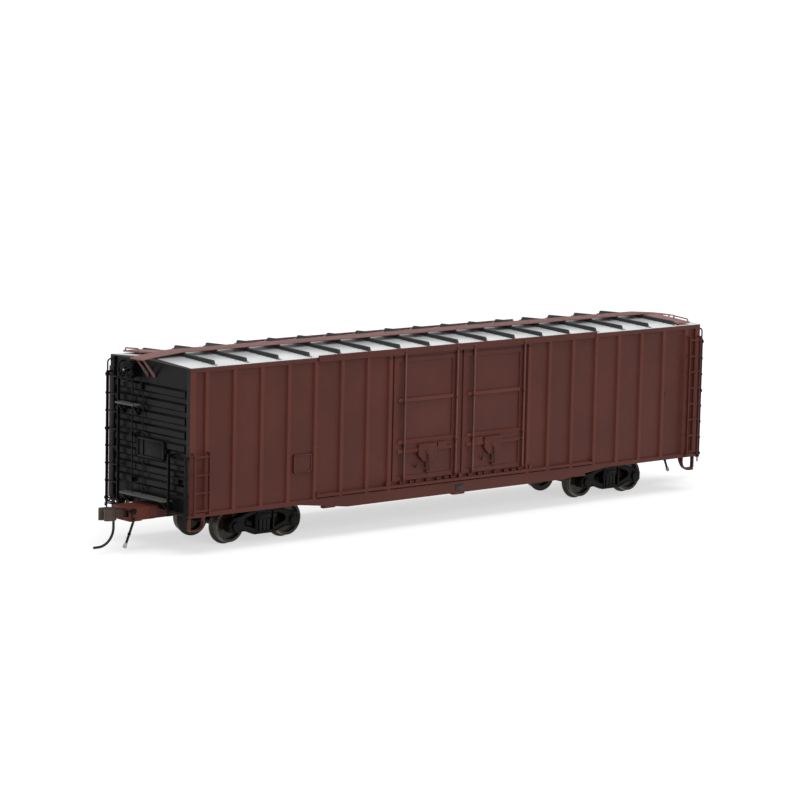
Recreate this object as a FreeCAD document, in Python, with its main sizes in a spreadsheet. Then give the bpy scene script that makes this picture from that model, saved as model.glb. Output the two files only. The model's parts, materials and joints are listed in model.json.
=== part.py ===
import FreeCAD, Part
import Sketcher
import math
import os
import re

# The part is a 1:87 plastic model of a boxcar with two plug doors in each side.
# X runs along the car, with the hand-brake end at minus X, and Z is up.
# The origin is on the floor, in the middle of the car, under the wheel flanges.
# All lengths are in millimetres.

os.makedirs("parts", exist_ok=True)
doc = FreeCAD.newDocument("railroad_boxcar")
sheet = doc.addObject("Spreadsheet::Sheet", "sizes")
known = {}


def add_sizes(cells):
    """Put each size into the sheet, under its own name."""
    for alias, size in cells.items():
        row = str(len(known) + 1)
        sheet.set("A" + row, alias)
        sheet.set("B" + row, str(size))
        sheet.setAlias("B" + row, alias)
        known[alias] = size


def spelled(text, meaning):
    """Put the meaning of each name into a formula, with the places written out in sizes first."""
    for table in (places, meaning):
        text = re.sub(r"[a-z_]+[a-z0-9_]*", lambda word: str(table.get(word[0], word[0])), text)
    return text


def linked(text):
    """Turn a formula in size names into one that reads the sheet."""
    return spelled(text, {alias: "sizes." + alias for alias in known})


def number(text):
    """Work a formula in size names out in plain numbers."""
    return FreeCAD.Units.Quantity(spelled(text, known)).Value


# Sizes of the body shell
body_sizes = {
    "body_length": 195.6,
    "body_width": 36.48,
    "eave_height": 51.14,
    "roof_rise": 1.3,
    "roof_thickness": 0.8,
    "side_thickness": 0.9,
    "end_thickness": 1.0,
    "end_low": 11.3,
    "roof_edge": 0.25,
    "corner_post_width": 1.9,
    "end_rib_reach": 0.6,
    "end_rib_height": 2.6,
    "end_rib_crown": 1.4,
    "end_panel_height": 7.24,
    "end_rib_count": 8,
    "end_rib_inset": 0.8,
    "low_end_rib": 18.0,
}
add_sizes(body_sizes)

# Sizes of the side sills, posts and rails
side_sizes = {
    "sill_height": 10.53,
    "sill_depth": 1.2,
    "belly_height": 8.45,
    "belly_flat": 84.0,
    "belly_length": 118.6,
    "post_depth": 0.75,
    "post_width": 1.9,
    "post_crown": 1.1,
    "last_post_inset": 5.8,
    "post_count": 7,
    "first_post": 35.0,
    "jamb_post": 26.8,
    "top_rail_depth": 1.0,
    "track_length": 107.0,
    "track_drop": 0.99,
    "track_height": 1.8,
    "track_reach": 0.35,
    "lower_track_height": 12.1,
    "lower_track_depth": 0.8,
    "card_middle": 58.2,
    "card_width": 6.2,
    "card_low": 19.8,
    "card_height": 4.7,
    "card_thickness": 0.35,
}
add_sizes(side_sizes)

# Sizes of the plug doors
door_sizes = {
    "door_width": 24.3,
    "centre_post": 2.0,
    "door_low": 13.9,
    "door_head": 1.04,
    "door_thickness": 1.2,
    "door_recess": 0.35,
    "door_left_stile": 1.5,
    "door_right_stile": 2.2,
    "door_top_rail": 2.2,
    "door_bottom_rail": 1.2,
    "door_panel_depth": 0.35,
    "door_bar_depth": 1.0,
    "door_bar_reach": 0.3,
    "door_bar_1": 36.5,
    "door_bar_2": 24.5,
    "door_bar_3": 21.8,
    "door_rod_radius": 0.3,
    "door_rod_inset": 0.85,
    "door_rod_spacing": 19.7,
    "door_rod_gap": 0.15,
    "cover_offset": 12.7,
    "handle_box_width": 6.8,
    "handle_box_height": 5.0,
    "handle_box_reach": 0.7,
    "handle_box_low": 18.95,
    "cover_shoulder": 1.8,
    "cover_foot_width": 3.2,
}
add_sizes(door_sizes)

# Sizes of the roof and the running boards on it
roof_sizes = {
    "roof_rib_end_inset": 9.48,
    "roof_rib_count": 17,
    "roof_rib_width": 0.9,
    "roof_rib_height": 1.3,
    "roof_rib_inset": 1.5,
    "roof_rib_taper": 0.7,
    "running_board_width": 6.6,
    "running_board_thickness": 0.4,
    "running_board_lift": 0.15,
    "running_board_overhang": 4.7,
    "board_bend_inset": 8.9,
    "board_slope_reach": 0.1,
    "board_slope_drop": 0.3,
    "board_end_drop": 0.85,
    "side_board_width": 5.5,
    "side_board_inset": 8.9,
    "side_board_end_inset": 1.0,
    "side_board_thickness": 0.45,
    "side_board_drop": 0.2,
    "board_lap": 0.3,
    "saddle_inset": 0.6,
    "side_board_clearance": 0.15,
    "board_foot": 0.8,
    "board_strut_width": 0.3,
    "board_strut_y": 1.5,
    "board_strut_drop": 4.14,
    "board_strut_x": 1.3,
    "strut_depth": 0.35,
    "strut_bite": 0.3,
    "grab_iron_length": 6.0,
    "grab_iron_height": 1.0,
    "grab_iron_inset": 0.3,
    "grab_iron_bend": 0.5,
    "grab_iron_seat": 0.2,
    "board_bite": 0.1,
}
add_sizes(roof_sizes)

# Sizes of the floor and the frame under it
floor_sizes = {
    "floor_height": 13.1,
    "floor_thickness": 1.0,
    "centre_sill_width": 4.6,
    "centre_sill_height": 8.9,
    "bolster_width": 5.4,
    "bolster_height": 9.5,
    "bearer_width": 1.2,
    "bearer_pitch": 19.0,
    "bearer_count": 5,
    "bearer_height": 9.4,
    "bearer_tip": 11.6,
    "bolster_root": 5.0,
    "centre_plate_radius": 2.9,
    "centre_plate_height": 8.6,
    "weight_inset": 11.8,
    "weight_width": 29.0,
    "weight_thickness": 2.0,
}
add_sizes(floor_sizes)

# Sizes of the wheels and trucks
truck_sizes = {
    "truck_inset": 30.75,
    "wheelbase": 20.2,
    "tread_diameter": 9.65,
    "flange_height": 0.63,
    "flange_width": 0.8,
    "wheel_width": 2.8,
    "wheel_back_inset": 5.75,
    "wheel_web": 0.9,
    "hub_radius": 1.7,
    "rim_depth": 0.9,
    "axle_radius": 1.0,
    "axle_journal_radius": 0.55,
    "axle_length": 25.9,
    "axle_cone": 1.3,
    "pivot_gap": 0.1,
    "frame_grip": 2.05,
    "frame_thickness": 1.7,
    "frame_gap": 0.12,
    "truck_bolster_width": 4.2,
    "truck_bolster_low": 5.6,
    "swivel_screw_radius": 1.1,
    "swivel_screw_gap": 0.15,
    "swivel_screw_grip": 3.0,
    "swivel_head_radius": 1.9,
    "swivel_head_height": 0.9,
    "spring_radius": 0.62,
    "spring_pitch": 1.35,
    "nest_depth": 1.0,
    "nest_half_width": 2.7,
    "nest_low": 3.5,
    "nest_high": 8.7,
    "bolster_end_low": 6.7,
    "bolster_end_half_width": 2.3,
    "frame_low": 2.6,
    "frame_high": 9.7,
    "frame_foot": 3.6,
    "frame_crown": 4.4,
    "pedestal_reach": 2.2,
    "cap_radius": 1.2,
    "cap_reach": 0.45,
}
add_sizes(truck_sizes)

# Sizes of the couplers and what carries them
coupler_sizes = {
    "coupler_reach": 15.6,
    "coupler_height": 10.45,
    "coupler_head_height": 3.4,
    "coupler_pivot_reach": 4.0,
    "coupler_pin_radius": 0.9,
    "coupler_gap": 0.12,
    "coupler_side_gap": 0.1,
    "eye_wall": 0.7,
    "shank_width": 2.2,
    "shank_height": 1.7,
    "box_reach": 9.0,
    "box_width": 7.8,
    "box_low": 8.45,
    "box_height": 3.75,
    "box_step": 0.3,
    "box_step_length": 3.9,
    "pocket_back": 2.5,
    "post_share": 0.7,
    "box_length": 24.0,
    "box_wall": 0.8,
    "trip_pin_radius": 0.36,
    "trip_pin_low": 2.1,
    "trip_pin_bend": 5.0,
    "trip_pin_reach": 6.5,
    "knuckle_height": 3.0,
    "knuckle_back": 2.6,
    "knuckle_y": 1.7,
    "hose_radius": 0.35,
    "hose_top": 11.2,
    "hose_bend_z": 9.0,
    "hose_back": 0.6,
    "hose_bend": 0.45,
    "hose_reach": 0.8,
    "hose_slant": 2.3,
    "hose_low": 2.0,
    "lever_reach": 1.7,
    "lever_y": 17.2,
    "lever_z": 10.6,
    "lever_handle": 2.0,
    "lever_bracket_y": 12.0,
    "lever_bracket_width": 0.8,
    "lever_bracket_height": 1.3,
    "lever_bend": 0.6,
    "lever_lift": 2.1,
    "lever_side": 5.2,
}
add_sizes(coupler_sizes)

# Sizes of the air brake
brake_sizes = {
    "reservoir_radius": 2.2,
    "reservoir_length": 12.0,
    "reservoir_y": 9.0,
    "reservoir_z": 9.6,
    "hanger_width": 1.2,
    "valve_width": 3.0,
    "valve_height": 3.2,
    "brake_cylinder_radius": 1.7,
    "brake_cylinder_length": 7.0,
}
add_sizes(brake_sizes)

# Sizes of the ladders, steps and hand brake
fitting_sizes = {
    "ladder_reach": 1.5,
    "stile_width": 0.35,
    "stile_depth": 0.8,
    "rung_radius": 0.22,
    "top_rung_drop": 4.34,
    "low_rung": 12.5,
    "side_ladder_width": 4.9,
    "side_ladder_inset": 0.7,
    "tall_rungs": 8,
    "short_rungs": 4,
    "low_end_rung": 11.4,
    "stile_overrun": 1.2,
    "foot_height": 0.5,
    "ladder_curve": 1.0,
    "ladder_curve_height": 3.2,
    "side_short_width": 5.4,
    "end_ladder_width": 5.6,
    "end_short_width": 8.0,
    "step_low": 6.7,
    "step_width": 5.2,
    "step_bar": 0.4,
    "step_corner": 0.7,
    "step_curve": 2.4,
    "step_arc_wide": 0.866,
    "step_arc_short": 0.5,
    "step_depth": 1.2,
    "step_inset": 0.5,
    "step_gap": 0.3,
    "brake_wheel_radius": 3.1,
    "brake_wheel_y": 7.9,
    "brake_wheel_drop": 2.74,
    "brake_wheel_reach": 3.3,
    "brake_rim_radius": 0.3,
    "brake_stub_radius": 0.5,
    "brake_housing_depth": 1.8,
    "brake_housing_width": 3.4,
    "brake_housing_height": 4.0,
    "brake_rod_reach": 1.2,
    "brake_platform_y": 3.8,
    "brake_platform_width": 8.6,
    "brake_platform_drop": 12.54,
    "crossover_y": 10.0,
    "crossover_z": 13.9,
    "platform_thickness": 0.5,
    "platform_reach": 2.8,
    "brace_drop": 2.7,
    "brace_width": 0.5,
    "brace_tip": 0.5,
    "brace_inset": 0.8,
    "brake_rod_y": 7.0,
    "brake_rod_gap": 0.4,
    "brake_rod_foot": 17.4,
    "brake_foot_width": 1.2,
}
add_sizes(fitting_sizes)
doc.recompute()

# Places and pitches that follow from the sizes
places = {
    "post_pitch": "((body_length / 2 - last_post_inset - first_post) / (post_count - 1))",
    "end_rib_pitch": "((eave_height - end_panel_height - low_end_rib) / (end_rib_count - 1))",
    "track_low": "(eave_height - track_drop)",
    "door_high": "(eave_height - door_head)",
    "roof_rib_pitch": "((body_length - 2 * roof_rib_end_inset) / (roof_rib_count - 1))",
    "board_bend": "(body_length / 2 - board_bend_inset)",
    "board_slope_end": "(body_length / 2 + board_slope_reach)",
    "side_board_start": "(body_length / 2 - side_board_inset)",
    "board_strut_foot": "(eave_height - board_strut_drop)",
    "weight_length": "(body_length - 2 * weight_inset)",
    "truck_centres": "(body_length - 2 * truck_inset)",
    "wheel_back_spacing": "(axle_length - 2 * wheel_back_inset)",
    "frame_inner": "(axle_length / 2 - frame_grip)",
    "coupler_face": "(body_length / 2 + coupler_reach)",
    "coupler_pivot": "(body_length / 2 + coupler_pivot_reach)",
    "box_face": "(body_length / 2 + box_reach)",
    "lever_x": "(body_length / 2 + lever_reach)",
    "rung_pitch": "((eave_height - top_rung_drop - low_rung) / (tall_rungs - 1))",
    "brake_wheel_z": "(eave_height - brake_wheel_drop)",
    "brake_platform_z": "(eave_height - brake_platform_drop)",
}

HALF_LENGTH = "(body_length / 2)"
HALF_WIDTH = "(body_width / 2)"
SKIN_Y = "(body_width / 2 - post_depth)"
INNER_Y = "(body_width / 2 - post_depth - side_thickness)"
SILL_TOP = "(sill_height + sill_depth)"
TRUCK_X = "(truck_centres / 2)"
AXLE_Z = "(tread_diameter / 2 + flange_height)"
RIB_TOP = "(eave_height + roof_edge + roof_rib_height)"
BOARD_TOP = "(" + RIB_TOP + " + running_board_lift + running_board_thickness)"
ROOF_UNDERSIDE = "(eave_height + roof_rise - roof_thickness)"
END_X = "(body_length / 2 - end_rib_reach)"
BOX_TOP = "(box_low + box_height)"
BOX_REAR = "(box_face - box_length)"
DOOR_FACE = "(body_width / 2 - door_recess)"
DOOR_MIDDLE = "(centre_post / 2 + door_width / 2)"
KNUCKLE_X = "(coupler_face - knuckle_back)"


def place(obj, turn=0, x="0", y="0", z="0"):
    """Turn an object about Z, then move it."""
    obj.Placement = FreeCAD.Placement(FreeCAD.Vector(), FreeCAD.Rotation(FreeCAD.Vector(0, 0, 1), turn))
    for axis, text in zip("xyz", (x, y, z)):
        obj.setExpression("Placement.Base." + axis, linked(text))
    return obj


def box(name, x, y, z):
    """A block between two formulas on each axis."""
    obj = doc.addObject("Part::Box", name)
    for axis, side, (low, high) in zip("xyz", ("Length", "Width", "Height"), (x, y, z)):
        obj.setExpression("Placement.Base." + axis, linked(low))
        obj.setExpression(side, linked("(" + high + ") - (" + low + ")"))
    return obj


def round_bar(name, axis, radius, start, length):
    """A round bar that runs along one axis from its start point."""
    obj = doc.addObject("Part::Cylinder", name)
    turns = {
        "x": FreeCAD.Rotation(FreeCAD.Vector(0, 1, 0), 90),
        "y": FreeCAD.Rotation(FreeCAD.Vector(1, 0, 0), -90),
        "z": FreeCAD.Rotation(),
    }
    obj.Placement = FreeCAD.Placement(FreeCAD.Vector(), turns[axis])
    obj.setExpression("Radius", linked(radius))
    obj.setExpression("Height", linked(length))
    for side, text in zip("xyz", start):
        obj.setExpression("Placement.Base." + side, linked(text))
    return obj


def joined(label, pieces, turn=0):
    """Fuse pieces into one sub-part, turned about Z."""
    if len(pieces) == 1:
        return pieces[0]
    obj = doc.addObject("Part::MultiFuse", label)
    obj.Shapes = pieces
    obj.Refine = True
    return place(obj, turn)


def cut(name, base, tool):
    """Take one object away from another."""
    obj = doc.addObject("Part::Cut", name)
    obj.Base = base
    obj.Tool = tool
    return obj


def plane(body, role):
    """One of a body's own origin planes or axes."""
    return next(feature for feature in body.Origin.OriginFeatures if feature.Role == role)


def outline(body, name, role, offset, points):
    """A closed sketch through points, each tied to its two formulas."""
    sketch = body.newObject("Sketcher::SketchObject", name)
    sketch.AttachmentSupport = [(plane(body, role), "")]
    sketch.MapMode = "FlatFace"
    sketch.setExpression("AttachmentOffset.Base.z", linked(offset))
    spots = [(number(across), number(up)) for across, up in points]
    corners = [FreeCAD.Vector(across, up, 0) for across, up in spots]
    for start, end in zip(corners, corners[1:] + corners[:1]):
        sketch.addGeometry(Part.LineSegment(start, end), False)
    for index, (formulas, spot) in enumerate(zip(points, spots)):
        sketch.addConstraint(Sketcher.Constraint("Coincident", index - 1 if index else len(points) - 1, 2, index, 1))
        for kind, formula, size in zip(("DistanceX", "DistanceY"), formulas, spot):
            tie = sketch.addConstraint(Sketcher.Constraint(kind, -1, 1, index, 1, size))
            sketch.setExpression("Constraints[" + str(tie) + "]", linked(formula))
    return sketch


def rectangle(x_low, x_high, z_low, z_high):
    """The four corners of an upright rectangle."""
    return [(x_low, z_low), (x_high, z_low), (x_high, z_high), (x_low, z_high)]


def pad(body, name, sketch, length, both_ways=False):
    """Raise a sketch into a solid."""
    feature = body.newObject("PartDesign::Pad", name)
    feature.Profile = sketch
    feature.Midplane = both_ways
    feature.setExpression("Length", linked(length))
    return feature


def pocket(body, name, sketch, length, both_ways=False, other_way=False):
    """Cut a sketch out of the solid."""
    feature = body.newObject("PartDesign::Pocket", name)
    feature.Profile = sketch
    feature.Midplane = both_ways
    feature.Reversed = other_way
    feature.setExpression("Length", linked(length))
    return feature


def row(body, name, feature, axis, length, count, other_way=False):
    """Repeat a feature along one of the body's axes."""
    pattern = body.newObject("PartDesign::LinearPattern", name)
    pattern.Originals = [feature]
    pattern.Direction = (plane(body, axis), [""])
    pattern.Reversed = other_way
    pattern.setExpression("Length", linked(length))
    pattern.setExpression("Occurrences", linked(count))
    body.Tip = pattern
    return pattern


def revolved(body, name, sketch, axis):
    """Turn a sketch right round one of the body's axes."""
    feature = body.newObject("PartDesign::Revolution", name)
    feature.Profile = sketch
    feature.ReferenceAxis = (plane(body, axis), [""])
    feature.Angle = 360
    return feature


def bent_rod(label, points, radius, bend, turn=0):
    """A round wire through points, with one radius at every bend."""
    spots = [FreeCAD.Vector(*(number(text) for text in point)) for point in points]
    edges = []
    start = spots[0]
    for before, corner, after in zip(spots, spots[1:], spots[2:]):
        inward = (before - corner).normalize()
        outward = (after - corner).normalize()
        half = inward.getAngle(outward) / 2
        reach = number(bend) / math.tan(half)
        middle = corner + (inward + outward).normalize() * (number(bend) / math.sin(half) - number(bend))
        edges.append(Part.LineSegment(start, corner + inward * reach).toShape())
        edges.append(Part.Arc(corner + inward * reach, middle, corner + outward * reach).toShape())
        start = corner + outward * reach
    edges.append(Part.LineSegment(start, spots[-1]).toShape())
    profile = Part.Wire(Part.Circle(spots[0], spots[1] - spots[0], number(radius)).toShape())
    obj = doc.addObject("Part::Feature", label)
    obj.Shape = Part.Wire(edges).makePipeShell([profile], True, False)
    return place(obj, turn)


PARTS = []


def finished(obj, label):
    """Name a sub-part and put it on the list to export."""
    obj.Label = label
    PARTS.append(obj)
    return obj


# Body shell
def side_wall(label, turn):
    """One moulded side: sheet, sill, rails, corner posts and hat posts."""
    body = doc.addObject("PartDesign::Body", label)
    belly = [
        ("-" + HALF_LENGTH, "sill_height"),
        ("-belly_length / 2", "sill_height"),
        ("-belly_flat / 2", "belly_height"),
        ("belly_flat / 2", "belly_height"),
        ("belly_length / 2", "sill_height"),
        (HALF_LENGTH, "sill_height"),
    ]
    sheet_outline = belly + [(HALF_LENGTH, "eave_height"), ("-" + HALF_LENGTH, "eave_height")]
    pad(body, label + "_sheet", outline(body, label + "_sheet_lines", "XZ_Plane", INNER_Y, sheet_outline), "side_thickness")
    sill = belly + [(HALF_LENGTH, SILL_TOP), ("-" + HALF_LENGTH, SILL_TOP)]
    pad(body, label + "_sill", outline(body, label + "_sill_lines", "XZ_Plane", SKIN_Y, sill), "post_depth")
    rail = rectangle("-" + HALF_LENGTH, HALF_LENGTH, "eave_height - top_rail_depth", "eave_height")
    pad(body, label + "_rail", outline(body, label + "_rail_lines", "XZ_Plane", SKIN_Y, rail), "post_depth")
    for name, side in (("left", "-"), ("right", "")):
        post = rectangle(
            side + "(body_length / 2 - corner_post_width)", side + HALF_LENGTH, SILL_TOP, "eave_height - top_rail_depth"
        )
        lines = outline(body, label + "_" + name + "_corner_lines", "XZ_Plane", SKIN_Y, post)
        pad(body, label + "_" + name + "_corner", lines, "post_depth")
        hat = [
            (side + "(first_post - post_width / 2)", "-" + SKIN_Y),
            (side + "(first_post + post_width / 2)", "-" + SKIN_Y),
            (side + "(first_post + post_crown / 2)", "-" + HALF_WIDTH),
            (side + "(first_post - post_crown / 2)", "-" + HALF_WIDTH),
        ]
        lines = outline(body, label + "_" + name + "_post_lines", "XY_Plane", SILL_TOP, hat)
        post = pad(body, label + "_" + name + "_post", lines, "eave_height - top_rail_depth - " + SILL_TOP)
        row(
            body, label + "_" + name + "_posts", post, "X_Axis", "post_pitch * (post_count - 1)", "post_count",
            other_way=side == "-",
        )
        jamb = [(text.replace("first_post", "jamb_post"), depth) for text, depth in hat]
        lines = outline(body, label + "_" + name + "_jamb_lines", "XY_Plane", SILL_TOP, jamb)
        pad(body, label + "_" + name + "_jamb", lines, "eave_height - top_rail_depth - " + SILL_TOP)
        near = side + "(centre_post / 2)"
        far = side + "(centre_post / 2 + door_width)"
        opening = rectangle(near, far, "door_low", "door_high")
        lines = outline(body, label + "_" + name + "_opening_lines", "XZ_Plane", HALF_WIDTH, opening)
        pocket(body, label + "_" + name + "_opening", lines, "post_depth + side_thickness")
    card = rectangle(
        "-card_middle - card_width / 2", "-card_middle + card_width / 2", "card_low", "card_low + card_height"
    )
    pad(body, label + "_card", outline(body, label + "_card_lines", "XZ_Plane", SKIN_Y, card), "card_thickness")
    track = rectangle("-track_length / 2", "track_length / 2", "track_low", "track_low + track_height")
    pad(body, label + "_track", outline(body, label + "_track_lines", "XZ_Plane", HALF_WIDTH, track), "track_reach")
    track = rectangle(
        "-track_length / 2", "track_length / 2", "lower_track_height", "lower_track_height + lower_track_depth"
    )
    lines = outline(body, label + "_lower_track_lines", "XZ_Plane", SKIN_Y, track)
    body.Tip = pad(body, label + "_lower_track", lines, "post_depth + track_reach")
    return finished(place(body, turn), label)


side_wall("side_wall_near", 0)
side_wall("side_wall_far", 180)


def end_wall(label, turn):
    """One end, with pressed ribs across it below a plain top panel."""
    body = doc.addObject("PartDesign::Body", label)
    sheet_outline = [
        ("-" + INNER_Y, "end_low"),
        (INNER_Y, "end_low"),
        (INNER_Y, "eave_height"),
        ("0", ROOF_UNDERSIDE),
        ("-" + INNER_Y, "eave_height"),
    ]
    lines = outline(body, label + "_sheet_lines", "YZ_Plane", END_X + " - end_thickness", sheet_outline)
    pad(body, label + "_sheet", lines, "end_thickness")
    rib = [
        (END_X, "low_end_rib - end_rib_height / 2"),
        (HALF_LENGTH, "low_end_rib - end_rib_crown / 2"),
        (HALF_LENGTH, "low_end_rib + end_rib_crown / 2"),
        (END_X, "low_end_rib + end_rib_height / 2"),
    ]
    first = pad(
        body, label + "_rib", outline(body, label + "_rib_lines", "XZ_Plane", "0", rib),
        "2 * (" + INNER_Y + " - end_rib_inset)", both_ways=True,
    )
    row(body, label + "_ribs", first, "Z_Axis", "end_rib_pitch * (end_rib_count - 1)", "end_rib_count")
    notch = rectangle("-box_width / 2", "box_width / 2", "end_low", BOX_TOP)
    lines = outline(body, label + "_notch_lines", "YZ_Plane", END_X + " - end_thickness", notch)
    body.Tip = pocket(body, label + "_notch", lines, "end_thickness", other_way=True)
    return finished(place(body, turn), label)


end_wall("end_wall_brake", 180)
end_wall("end_wall_plain", 0)


def roof():
    """The pitched roof sheet with its row of cross ribs, level on top."""
    body = doc.addObject("PartDesign::Body", "roof")
    gable = [
        ("-" + HALF_WIDTH, "eave_height"),
        ("-" + INNER_Y, "eave_height"),
        ("0", ROOF_UNDERSIDE),
        (INNER_Y, "eave_height"),
        (HALF_WIDTH, "eave_height"),
        (HALF_WIDTH, "eave_height + roof_edge"),
        ("0", "eave_height + roof_rise"),
        ("-" + HALF_WIDTH, "eave_height + roof_edge"),
    ]
    pad(body, "roof_sheet", outline(body, "roof_sheet_lines", "YZ_Plane", "0", gable), "body_length", both_ways=True)
    foot = "(body_width / 2 - roof_rib_inset)"
    crown = "(body_width / 2 - roof_rib_inset - roof_rib_taper)"
    rib = [
        ("-" + foot, "eave_height + roof_edge"),
        ("0", "eave_height + roof_rise"),
        (foot, "eave_height + roof_edge"),
        (crown, RIB_TOP),
        ("-" + crown, RIB_TOP),
    ]
    start = "-roof_rib_pitch * (roof_rib_count - 1) / 2 - roof_rib_width / 2"
    first = pad(body, "roof_rib", outline(body, "roof_rib_lines", "YZ_Plane", start, rib), "roof_rib_width")
    row(body, "roof_ribs", first, "X_Axis", "roof_rib_pitch * (roof_rib_count - 1)", "roof_rib_count")
    return finished(body, "roof")


roof()


# Plug doors
def door(label, way, turn):
    """One plug door leaf with its panels, bars, lock rods and gearbox cover."""
    middle = way + DOOR_MIDDLE
    left = middle + " - door_width / 2"
    right = middle + " + door_width / 2"
    between = (left + " + door_left_stile", right + " - door_right_stile")
    leaf = box(label + "_leaf", (left, right), ("-" + DOOR_FACE, "-" + DOOR_FACE + " + door_thickness"), ("door_low", "door_high"))
    heights = (
        ("door_low + door_bottom_rail", "door_bar_3"),
        ("door_bar_2 + door_bar_depth", "door_bar_1"),
        ("door_bar_1 + door_bar_depth", "door_high - door_top_rail"),
    )
    panel_y = ("-" + DOOR_FACE, "-" + DOOR_FACE + " + door_panel_depth")
    panels = [box(label + "_panel_" + str(index), between, panel_y, pair) for index, pair in enumerate(heights)]
    pieces = [cut(label + "_framed", leaf, joined(label + "_panels", panels))]
    bar_y = ("-" + DOOR_FACE + " - door_bar_reach", "-" + DOOR_FACE)
    for name in ("door_bar_1", "door_bar_2", "door_bar_3"):
        pieces.append(box(label + "_" + name, between, bar_y, (name, name + " + door_bar_depth")))
    rod_y = "-" + DOOR_FACE + " - door_bar_reach - door_rod_gap"
    for name, spot in (("right", " - door_rod_inset"), ("left", " - door_rod_inset - door_rod_spacing")):
        start = (right + spot, rod_y, "door_low")
        pieces.append(round_bar(label + "_" + name + "_rod", "z", "door_rod_radius", start, "door_high - door_low"))
    cover = doc.addObject("PartDesign::Body", label + "_cover")
    spot = way + "cover_offset"
    top = "handle_box_low + handle_box_height"
    keystone = [
        (spot + " - cover_foot_width / 2", "handle_box_low"),
        (spot + " + cover_foot_width / 2", "handle_box_low"),
        (spot + " + handle_box_width / 2", "handle_box_low + cover_shoulder"),
        (spot + " + handle_box_width / 2", top),
        (spot + " - handle_box_width / 2", top),
        (spot + " - handle_box_width / 2", "handle_box_low + cover_shoulder"),
    ]
    lines = outline(cover, label + "_cover_lines", "XZ_Plane", DOOR_FACE, keystone)
    pad(cover, label + "_cover_plate", lines, "handle_box_reach")
    pieces.append(cover)
    return finished(joined(label, pieces, turn), label)


for side_name, turn in zip(("near", "far"), (0, 180)):
    door("door_" + side_name + "_left", "-", turn)
    door("door_" + side_name + "_right", "", turn)


# Roof walkways
BOARD_END = "(body_length / 2 + running_board_overhang)"
SIDE_END_Y = "(body_width / 2 - side_board_end_inset)"
SIDE_ROOT_Y = "(running_board_width / 2 - board_lap)"
SIDE_END_TOP = "(eave_height + roof_edge + side_board_clearance + side_board_thickness)"
SIDE_ROOT_TOP = "(" + BOARD_TOP + " - side_board_drop)"
SIDE_SLOPE = "((" + SIDE_ROOT_TOP + " - " + SIDE_END_TOP + ") / (" + SIDE_END_Y + " - " + SIDE_ROOT_Y + "))"


def long_board():
    """The walkway along the ridge, on a saddle at each rib, bent down at both ends."""
    body = doc.addObject("PartDesign::Body", "running_board_long")
    top = [
        (BOARD_END, BOARD_TOP + " - board_end_drop"),
        ("board_slope_end", BOARD_TOP + " - board_slope_drop"),
        ("board_bend", BOARD_TOP),
    ]
    top = top + [("-" + across, up) for across, up in reversed(top)]
    under = [(across, up + " - running_board_thickness") for across, up in reversed(top)]
    lines = outline(body, "running_board_lines", "XZ_Plane", "0", top + under)
    pad(body, "running_board_pad", lines, "running_board_width", both_ways=True)
    start = "-roof_rib_pitch * (roof_rib_count - 1) / 2"
    half = "(running_board_width / 2 - saddle_inset)"
    saddle = rectangle(start + " - roof_rib_width / 2", start + " + roof_rib_width / 2", "-" + half, half)
    first = pad(body, "saddle", outline(body, "saddle_lines", "XY_Plane", RIB_TOP, saddle), "running_board_lift + board_bite")
    row(body, "saddles", first, "X_Axis", "roof_rib_pitch * (roof_rib_count - 1)", "roof_rib_count")
    return body


def side_board(name, turn):
    """The short walkway from the ridge to the eave at one end, with a foot on the roof."""
    body = doc.addObject("PartDesign::Body", "side_board_" + name)
    lines = [
        ("-" + SIDE_END_Y, SIDE_END_TOP + " - side_board_thickness"),
        ("-" + SIDE_ROOT_Y, SIDE_ROOT_TOP + " - side_board_thickness"),
        ("-" + SIDE_ROOT_Y, SIDE_ROOT_TOP),
        ("-" + SIDE_END_Y, SIDE_END_TOP),
    ]
    sketch = outline(body, "side_board_lines_" + name, "YZ_Plane", "side_board_start", lines)
    pad(body, "side_board_pad_" + name, sketch, "side_board_width")
    foot = box(
        "side_board_foot_" + name, ("side_board_start + board_foot", "side_board_start + 2 * board_foot"),
        ("-" + SIDE_END_Y, "-" + SIDE_END_Y + " + board_foot"),
        (
            "eave_height + roof_edge + (roof_rise - roof_edge) * (side_board_end_inset + board_foot) / " + HALF_WIDTH,
            SIDE_END_TOP + " - side_board_thickness + board_bite",
        ),
    )
    return joined("side_board_whole_" + name, [body, foot], turn)


def board_strut(name, side, turn):
    """A flat strut from the end wall up to the end of the long board."""
    body = doc.addObject("PartDesign::Body", "board_strut_" + name)
    tip = BOARD_TOP + " - board_end_drop - running_board_thickness + strut_bite"
    lines = [
        (END_X, "board_strut_foot"),
        (END_X + " + strut_depth", "board_strut_foot"),
        (BOARD_END + " - board_strut_x + strut_depth", tip),
        (BOARD_END + " - board_strut_x", tip),
        (END_X, "board_strut_foot + board_foot"),
    ]
    offset = side + "board_strut_y - board_strut_width / 2"
    pad(body, "board_strut_pad_" + name, outline(body, "board_strut_lines_" + name, "XZ_Plane", offset, lines), "board_strut_width")
    return place(body, turn)


def grab_iron(name, turn):
    """A bent wire hand hold, set in the outer edge of a side board."""
    x = "side_board_start + side_board_width - grab_iron_inset"
    ends = (SIDE_END_Y + " - board_foot", SIDE_END_Y + " - board_foot - grab_iron_length")
    tops = [SIDE_END_TOP + " + " + SIDE_SLOPE + " * (" + SIDE_END_Y + " - (" + end + "))" for end in ends]
    points = [
        (x, "-(" + ends[0] + ")", tops[0] + " - grab_iron_seat"),
        (x, "-(" + ends[0] + ")", tops[0] + " + grab_iron_height"),
        (x, "-(" + ends[1] + ")", tops[1] + " + grab_iron_height"),
        (x, "-(" + ends[1] + ")", tops[1] + " - grab_iron_seat"),
    ]
    return bent_rod("roof_grab_iron_" + name, points, "rung_radius", "grab_iron_bend", turn)


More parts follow.
